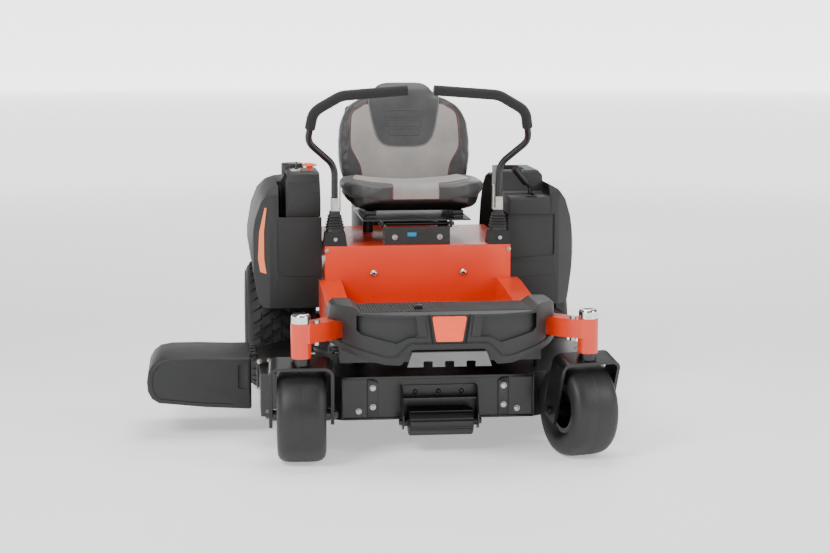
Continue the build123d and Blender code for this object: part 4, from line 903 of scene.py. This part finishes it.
def cushion():
    """Upholstered seat: rolled front, dark wings, pale centre strip that runs over the front edge."""
    half = 243.0
    plan = [(0, 772), (120, 776), (176, 790), (216, 822), (236, 868), (half, 930), (240, 1010), (226, 1080), (200, 1112),
            (150, 1121), (0, 1121)]
    front = [(0, 688), (150, 690), (206, 700), (236, 716), (half, 728), (238, 742), (222, 748), (196, 748), (150, 742),
             (0, 736)]
    pad = plate("cushion", mirrored(plan), "z", 680, 760)
    carve(pad, plate("front", mirrored(front), "y", 760, 1130), operation="INTERSECT")
    softened(pad, 6.0, 6)
    for vert in pad.data.vertices:
        x = (vert.co.x - CENTRE_X) / MM
        y, z = (vert.co.y - PIVOT_Y) / MM, vert.co.z / MM
        top = max(0.0, min(1.0, (z - 708) / 26.0))
        bolster = max(0.0, (abs(x) - 120) / 110.0) ** 1.5
        vert.co.z += top * (bolster * 9.0 - max(0.0, 1 - (x / 150) ** 2) * max(0.0, min(1, (y - 800) / 120)) * 5) * MM
    swell(pad, 6.5, 3.0, 5.0)
    kept_inside(pad, "seat_cushion", 6.0)
    modify(pad, "SMOOTH", factor=0.5, iterations=3)
    for vert in pad.data.vertices:
        vert.co.z = max(vert.co.z, low("seat_cushion").z)
    modify(pad, "SUBSURF", levels=1, render_levels=1)
    dress(pad, VINYL_DARK, "seat", "seat_cushion", slot="seat_vinyl", angle=60)
    edge = smooth_line([(-74, 760, 0), (-76, 800, 0), (-78, 838, 0), (-92, 856, 0), (-130, 862, 0), (-172, 872, 0),
                        (-190, 900, 0), (-192, 960, 0), (-184, 1040, 0), (-166, 1100, 0)], 6)
    outline = [(p.x, p.y) for p in edge] + [(-150, 1119), (150, 1119)] + [(-p.x, p.y) for p in reversed(edge)]
    panel("cushion_insert", pad, outline, "z", (697, 780), 1.5, VINYL_LIGHT, "seat")
    down = Vector((0, 0, -1))
    for end, name in ((1, "left"), (-1, "right")):
        line = [at(-p.x * end * 1.0 + 4 * end, p.y - 2, 900) for p in edge if p.y > 788]
        sew("cushion_stitching_" + name, pad, line, down, THREAD_RED, "seat")
        rise = [at(77 * end, 700, 702 + 3 * step) for step in range(10)]
        sew("cushion_front_stitching_" + name, pad, rise, Vector((0, 1, 0)), THREAD_RED, "seat")


def seat_shell():
    """Moulded bowl under the cushion and up behind the backrest, with its slides."""
    bowl = plate("bowl", mirrored([(0, 780), (120, 782), (172, 792), (206, 826), (224, 900), (228, 980), (222, 1120),
                                   (198, 1196), (150, 1218), (0, 1220)]), "z", 650, 702)
    carve(bowl, plate("front", mirrored([(0, 651), (122, 652), (164, 658), (198, 672), (220, 688), (230, 702),
                                         (0, 702)]), "y", 760, 1240), operation="INTERSECT")
    carve(bowl, plate("side", [(778, 702), (786, 684), (808, 667), (842, 655), (872, 651), (1140, 651), (1180, 660),
                               (1206, 680), (1222, 702)], "x", -260, 260), operation="INTERSECT")
    softened(bowl, 4.0, 4)
    carve(bowl, plate("well", mirrored([(0, 790), (120, 792), (176, 806), (206, 838), (222, 900), (222, 1060),
                                        (200, 1116), (0, 1124)]), "z", 690.5, 760))
    back = plate("back", mirrored([(0, 690), (196, 690), (212, 750), (214, 900), (196, 975), (150, 1000), (110, 1018),
                                   (88, 1044), (0, 1048)]), "y", 1180, 1330)
    carve(back, plate("side", [(1204, 690), (1250, 700), (1286, 1010), (1288, 1040), (1270, 1048), (1270, 1020),
                               (1226, 762), (1206, 696)], "x", -260, 260), operation="INTERSECT")
    bevel(back, 6, 3, 40)
    for count in range(5):
        x = -80 + 40 * count
        back = merge("back", back, bevel(plate("rib", [(1236, 720), (1256, 720), (1288, 980), (1270, 980)], "x",
                                               x - 2.5, x + 2.5), 1.5, 2))
    slides = []
    for x in (-145, 145):
        slide = cube("slide", (x - 17, x + 17), (820, 1140), (636.5, 655))
        carve(slide, cube("channel", (x - 14.5, x + 14.5), (810, 1150), (630, 642.6)))
        slides.append(bevel(slide, 1.5, 2))
    shell = merge("seat_shell", bowl, back, *slides)
    dress(shell, MOULDED_BLACK, "seat", "seat_base", slot="seat_shell", angle=40)


# ---------------------------------------------------------------- lever boots and small fittings
def lever_boot(side, name):
    """Square rubber bellows: a collar round the arm, five folds and a flange on its base."""
    x, y, base = 270.0, 760.0, 596.0
    rows = [(11, 68), (17, 68), (18, 66), (18, 57), (20, 55)]
    for fold in range(5):
        height = 53 - 9.0 * fold
        reach = 20.5 + 2.0 * fold
        rows += [(reach + 3.2, height - 1.5), (reach + 3.6, height - 3.2), (reach - 0.5, height - 6.6)]
    rows += [(30.5, 2.5), (31.5, 0.4), (27, 0.4), (26, 6), (14, 50), (11, 60)]
    rings = []
    for reach, height in rows:
        ring = []
        for step in range(32):
            angle = 2 * math.pi * step / 32
            c, s = math.cos(angle), math.sin(angle)
            square = (abs(c) ** 4 + abs(s) ** 4) ** -0.25
            size = reach * min(square, 1.14)
            ring.append((x * side + c * size, y + s * size * 0.94, base + height))
        rings.append(ring)
    boot = lofted_ring("boot", rings)
    dress(boot, SOFT_RUBBER, "chassis", "boot_" + name, slot="soft_rubber", angle=40)
    boot.name = "bellows_" + name
    boot.parent = None
    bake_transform(boot)


def lofted_ring(name, rings):
    """Closed hollow skin through rings of points, the last one joined back to the first."""
    piece = lofted(name, rings, capped=False)
    edit(piece)
    bpy.ops.mesh.select_mode(type="EDGE")
    bpy.ops.mesh.select_non_manifold()
    bpy.ops.mesh.bridge_edge_loops()
    bpy.ops.mesh.select_all(action="SELECT")
    bpy.ops.mesh.normals_make_consistent(inside=False)
    idle()
    return piece


def fastener(name, body, spots, axis, across=13.0, height=6.0, material=None):
    """Hexagon heads of one size on one body."""
    heads = [bolt_head("head", spot, axis, across, height) for spot in spots]
    return dress(merge(name, *heads), material or ZINC, body, slot="zinc_steel")


def dome_heads(name, body, spots, axis, radius, height, material, slot):
    """Round button heads with a drive recess."""
    heads = []
    axis = Vector(axis)
    for spot in spots:
        spot = Vector(spot)
        head = rod("head", spot, spot + axis * height, radius, tip=radius * 0.62, sides=32)
        bevel(head, height * 0.22, 3, 20)
        carve(head, rod("drive", spot + axis * height * 0.45, spot + axis * (height + 1), radius * 0.34, sides=6))
        heads.append(head)
    return dress(merge(name, *heads), material, body, slot=slot)


def hose(name, points, radius, material, body, slot, resolution=3):
    """Bent wire, rod or cable through given places."""
    curve = bpy.data.curves.new(name, "CURVE")
    curve.dimensions = "3D"
    curve.bevel_depth = radius * MM
    curve.bevel_resolution = resolution
    curve.use_fill_caps = True
    line = smooth_line([at(*point) for point in points], 8)
    spline = curve.splines.new("POLY")
    spline.points.add(len(line) - 1)
    for point, spot in zip(spline.points, line):
        point.co = (*spot, 1.0)
    piece = bpy.data.objects.new(name, curve)
    bpy.context.scene.collection.objects.link(piece)
    choose(piece)
    bpy.ops.object.convert(target="MESH")
    return dress(bpy.context.object, material, body, slot=slot, angle=60)


def front_details():
    """Bolts, screws, the seat switch connector and lead, a blank plate, cap seats and arm welds seen from the front."""
    ahead = (0, -1, 0)
    dome_heads("panel_screws", "chassis", [(-147, 711, 462), (147, 711, 462)], ahead, 12.5, 5.5, CHROME, "zinc_steel")
    fastener("hinge_bracket_bolts", "chassis", [(-74, 745, 576), (74, 745, 576)], ahead, 13, 5)
    fastener("pan_edge_bolts", "chassis", [(-298, 714.5, 538), (298, 714.5, 538)], ahead, 10, 4)
    connector = bevel(cube("seat_switch_connector", (-34, -4), (736, 744.5), (578, 592)), 1.5, 2)
    dress(connector, BLUE_NYLON, "chassis", slot="black_plastic")
    hose("seat_switch_lead", [(-4, 741, 585), (14, 738, 583), (30, 741, 590), (44, 748, 604), (60, 768, 610)], 2.0,
         SOFT_RUBBER, "chassis", "soft_rubber")
    tag = bevel(cube("blank_plate", (150, 222), (722, 762), (552.2, 553.2)), 0.3, 1)
    dress(tag, BLANK_FOIL, "chassis", slot="zinc_steel")
    for end, name in ((1, "left"), (-1, "right")):
        collar = rod("collar", (end * 420, 0, 418.4), (end * 420, 0, 424), 28.4)
        dress(bevel(collar, 1.0, 2), CHROME, "chassis", slot="chrome_plate").name = "cap_seat_" + name
        weld = []
        for count in range(9):
            t = count / 8
            weld.append(settled_ball((end * (396 + 3 * math.sin(t * 3.1)), -26 + 6 + 42 * t, 416.2), 4.2, (1, 1.2, 0.45)))
        dress(merge("arm_weld_" + name, *weld), ORANGE_COAT, "chassis", slot="orange_paint")


def settled_ball(spot, radius, scale):
    """Flattened ball of weld metal."""
    idle()
    bpy.ops.mesh.primitive_uv_sphere_add(segments=12, ring_count=7, radius=radius * MM, location=at(*spot), scale=scale)
    return settle("bead")


def deck_details():
    """Stiffening lips, ribs, side brackets, the chute corner plate and bolts of the cutting deck."""
    ahead, up = (0, -1, 0), (0, 0, 1)
    front = 178.0
    lip = [cube("lip", (-290, 290), (front - 6, front), (92, 98)), cube("lip", (-290, 290), (front - 4, front), (214, 224))]
    for end in (-1, 1):
        bracket = plate("bracket", [(end * 182, 100), (end * 182, 205), (end * 196, 216), (end * 214, 216), (end * 214, 100)],
                        "y", front - 8, front)
        lip.append(bracket)
        lip.append(cube("rib", (end * 286, end * 292), (front - 14, front + 4), (96, 220)))
    for piece in lip:
        bevel(piece, 1.4, 2)
    dress(merge("deck_front_stiffeners", *lip), BLACK_COAT, "deck", slot="black_paint")
    spots = [(end * x, front - 8, z) for end in (-1, 1) for x, z in ((198, 132), (198, 190))]
    spots += [(end * 240, front, 118) for end in (-1, 1)]
    fastener("deck_front_bolts", "deck", spots, ahead, 13, 5)
    dome_heads("roller_bracket_bolts", "deck", [(end * 70, 173, 176) for end in (-1, 1)] + [(0, 173, 176)], ahead, 8, 4,
               BLACK_COAT, "black_paint")
    corner = plate("chute_corner_plate", [(-548, 236), (-536, 249), (-470, 249), (-462, 240), (-462, 226), (-548, 226)],
                   "y", 384, 388)
    bevel(corner, 1.2, 2)
    dress(corner, BLACK_COAT, "deck", slot="black_paint")
    fastener("chute_corner_bolts", "deck", [(-530, 384, 238), (-500, 384, 240), (-474, 384, 236)], ahead, 11, 5)
    fastener("spindle_bolts", "deck", [(side * 258 + 50 * math.cos(math.radians(60 * k + 30)),
                                        y + 50 * math.sin(math.radians(60 * k + 30)), 230)
                                       for side, y in ((-1, 480), (1, 610)) for k in range(6)], up, 11, 5)


def tension_spring():
    """Close-wound extension spring between the right rail and the deck linkage, with a hook at its inner end."""
    turns, radius, wire = 26, 8.5, 1.7
    start, end, y, z = -228.0, -330.0, 96.0, 341.0
    line = []
    for step in range(turns * 14 + 1):
        angle = 2 * math.pi * step / 14
        t = step / (turns * 14)
        line.append(at(start + (end - start) * t, y + radius * math.cos(angle), z + radius * math.sin(angle)))
    curve = bpy.data.curves.new("spring", "CURVE")
    curve.dimensions = "3D"
    curve.bevel_depth = wire * MM
    curve.bevel_resolution = 1
    spline = curve.splines.new("POLY")
    spline.points.add(len(line) - 1)
    for point, spot in zip(spline.points, line):
        point.co = (*spot, 1.0)
    curve.use_fill_caps = True
    piece = bpy.data.objects.new("tension_spring", curve)
    bpy.context.scene.collection.objects.link(piece)
    choose(piece)
    bpy.ops.object.convert(target="MESH")
    dress(bpy.context.object, BRIGHT_WIRE, "chassis", slot="zinc_steel", angle=60)
    hose("spring_hook_inner", [(start, y + radius, z), (start + 4, y + 3, z + 1), (start + 10, y, z), (start + 17, y, z - 3),
                               (start + 14, y, z - 9)], wire, BRIGHT_WIRE, "chassis", "zinc_steel")


def engine_details():
    """Oil filter, air cleaner, plug leads, shroud rim and silencer fittings of the engine."""
    crank, base = 1480.0, 335.0
    filter_can = rod("can", (-128, crank - 50, base + 50), (-206, crank - 50, base + 50), 37.2, sides=48)
    bevel(filter_can, 5, 3)
    flutes = [rod("flute", (-196 + 0.1, crank - 50 + 37 * math.cos(math.radians(30 * k)),
                            base + 50 + 37 * math.sin(math.radians(30 * k))),
                  (-207, crank - 50 + 37 * math.cos(math.radians(30 * k)), base + 50 + 37 * math.sin(math.radians(30 * k))),
                  5, sides=12) for k in range(12)]
    carve(filter_can, *flutes)
    dress(filter_can, MOULDED_BLACK, "chassis", slot="black_plastic").name = "oil_filter"
    top = base + 305
    ring = spun("shroud_rim", [(134, -3), (160.5, -3), (160.5, -14), (163, -16), (163, -24), (160, -26), (160, -1),
                               (152, 1.5), (138, 1.5)], at(0, crank, top), Vector((0, 0, 1)), 96)
    dress(ring, MOULDED_BLACK, "chassis", slot="black_plastic")
    cleaner = bevel(cube("cleaner", (-70, 70), (crank + 104, crank + 176), (base + 170, base + 262)), 18, 5)
    cover = bevel(cube("lid", (-74, 74), (crank + 122, crank + 130), (base + 166, base + 266)), 3, 3)
    for x in (-46, 46):
        cover = merge("lid", cover, bevel(cube("clip", (x - 7, x + 7), (crank + 112, crank + 140),
                                               (base + 260, base + 270)), 2, 2))
    dress(merge("air_cleaner", cleaner, cover), MOULDED_BLACK, "chassis", slot="black_plastic")
    for end, name in ((1, "left"), (-1, "right")):
        x = end * 160
        boot = rod("boot", (x * 0.98, crank + 150, base + 96), (x * 1.08, crank + 168, base + 100), 9, tip=7, sides=20)
        dress(bevel(boot, 2, 2), SOFT_RUBBER, "chassis", slot="soft_rubber").name = "plug_boot_" + name
        hose("plug_lead_" + name, [(x * 1.04, crank + 160, base + 98), (x * 1.1, crank + 176, base + 120),
                                   (x * 0.98, crank + 150, base + 170), (x * 0.8, crank + 110, base + 196)], 3.5,
             SOFT_RUBBER, "chassis", "soft_rubber")
    spots = [(end * 66, 1692, base + 30.2) for end in (-1, 1)]
    fastener("silencer_bolts", "chassis", spots, (0, 0, 1), 13, 5)
    pipe = rod("tail", (92, 1716, base + 52), (150, 1736, base + 40), 13, sides=32)
    carve(pipe, rod("bore", (120, 1726, base + 46), (156, 1738, base + 39), 10.5, sides=32))
    dress(bevel(pipe, 0.8, 1), SILENCER, "chassis", slot="cast_alloy").name = "silencer_tail_pipe"
    seams = [spun("seam", [(45.8, w - 1.5), (48.4, w - 1), (48.4, w + 1), (45.8, w + 1.5)], at(0, 1716, base + 52),
                  Vector((1, 0, 0)), 64) for w in (-112, 112)]
    dress(merge("silencer_seams", *seams), SILENCER, "chassis", slot="cast_alloy")


def rear_details():
    """Guard bolts and wheel valve stems."""
    for end, name in ((1, "left"), (-1, "right")):
        fastener("guard_bolts_" + name, "chassis", [(end * 283, y, 306) for y in (1530, 1630)], (end, 0, 0), 17, 8)
        stem = rod("stem", (end * 470, 1200 + 88, 228.5), (end * 500, 1200 + 92, 228.5), 5.5, tip=4.5, sides=16)
        dress(bevel(stem, 0.8, 1), SOFT_RUBBER, "rear_wheel_" + name, slot="soft_rubber").name = "valve_stem_" + name


# ---------------------------------------------------------------- CAD nodes that stay
def paint_frame_nodes():
    """Finish of every CAD node that keeps its own shape."""
    finishes = {
        ORANGE_COAT: "seat_pan side_brackets caster_arms floor_pan",
        BLACK_COAT: "frame_rails seat_hinge seat_plate deck_shell deck_fittings caster_fork_left caster_fork_right "
                    "lap_bar_left lap_bar_right rear_guard lift_shaft_front lift_shaft_rear blade_set_left "
                    "blade_set_right",
        GREY_COAT: "skid_plate",
        MOULDED_BLACK: "boot_bases fuel_tank fuel_cap belt_covers height_lever battery front_roller seat_base "
                       "engine_shroud ignition_key",
        MOULDED_ORANGE: "pto_knob bumper_badge",
        CHROME: "caster_caps",
        ZINC: "chassis_fasteners control_arm_left control_arm_right clutch_pulley",
        CAST_ALLOY: "transaxles engine_block",
        RIM_COAT: "caster_rim_left caster_rim_right rear_rim_left rear_rim_right",
        SOFT_RUBBER: "boot_left boot_right deck_belt",
        FOAM: "grip_left grip_right",
        SILENCER: "muffler",
        VINYL_DARK: "seat_cushion seat_backrest",
        MOULDED_GREY: "front_bumper fender_left fender_right console_left console_right chute",
        TYRE: "rear_tyre_left rear_tyre_right caster_tyre_left caster_tyre_right",
    }
    for material, names in finishes.items():
        for name in names.split():
            node = frame["nodes"][name]
            node.data.materials.clear()
            node.data.materials.append(material)


# ---------------------------------------------------------------- floor, light and camera
def studio():
    """Pale floor and backdrop glowing with painted light, dimmer near the machine as painted shade, soft boxes all
    round and the camera in front.
    """
    idle()
    bpy.ops.mesh.primitive_plane_add(size=60, location=(0, 0, 0))
    floor = settle("floor")
    floor.data.materials.append(STUDIO_FLOOR)
    idle()
    bpy.ops.mesh.primitive_cylinder_add(vertices=96, radius=28, depth=3.4, end_fill_type="NOTHING", location=(0, 0, 1.7))
    backdrop = settle("backdrop")
    backdrop.data.materials.append(STUDIO_FLOOR)
    world = bpy.data.worlds.new("studio")
    world.use_nodes = True
    world.node_tree.nodes["Background"].inputs["Color"].default_value = (1.0, 1.0, 1.0, 1.0)
    world.node_tree.nodes["Background"].inputs["Strength"].default_value = 0.28
    bpy.context.scene.world = world
    lamps = [("key", (-2.6, -3.4, 3.6), 1.8, 190), ("fill", (3.4, -2.6, 2.6), 1.6, 80),
             ("top", (0.2, 0.4, 4.4), 2.6, 130), ("back", (1.2, 4.6, 3.2), 2.4, 70)]
    for name, spot, size, power in lamps:
        idle()
        aim = (Vector((0.1, 0.0, 0.5)) - Vector(spot)).to_track_quat("-Z", "Y").to_euler()
        bpy.ops.object.light_add(type="AREA", location=spot, rotation=aim)
        lamp = bpy.context.object
        lamp.name = name
        lamp.data.size = size
        lamp.data.energy = power
    idle()
    bpy.ops.object.camera_add(location=at(-683, -5400, 1300),
                              rotation=(math.radians(90 - 7.87), 0, math.radians(-6.27)))
    camera = bpy.context.object
    camera.data.sensor_width = 36
    camera.data.lens = 82.4
    bpy.context.scene.camera = camera


paint_frame_nodes()
for side, name in ((1, "left"), (-1, "right")):
    rear_tyre(side, name)
    caster_tyre(name)
    fender(side, name)
    lever_boot(side, name)
front_bumper()
consoles()
chute()
backrest()
cushion()
seat_shell()
front_details()
deck_details()
tension_spring()
engine_details()
rear_details()
studio()
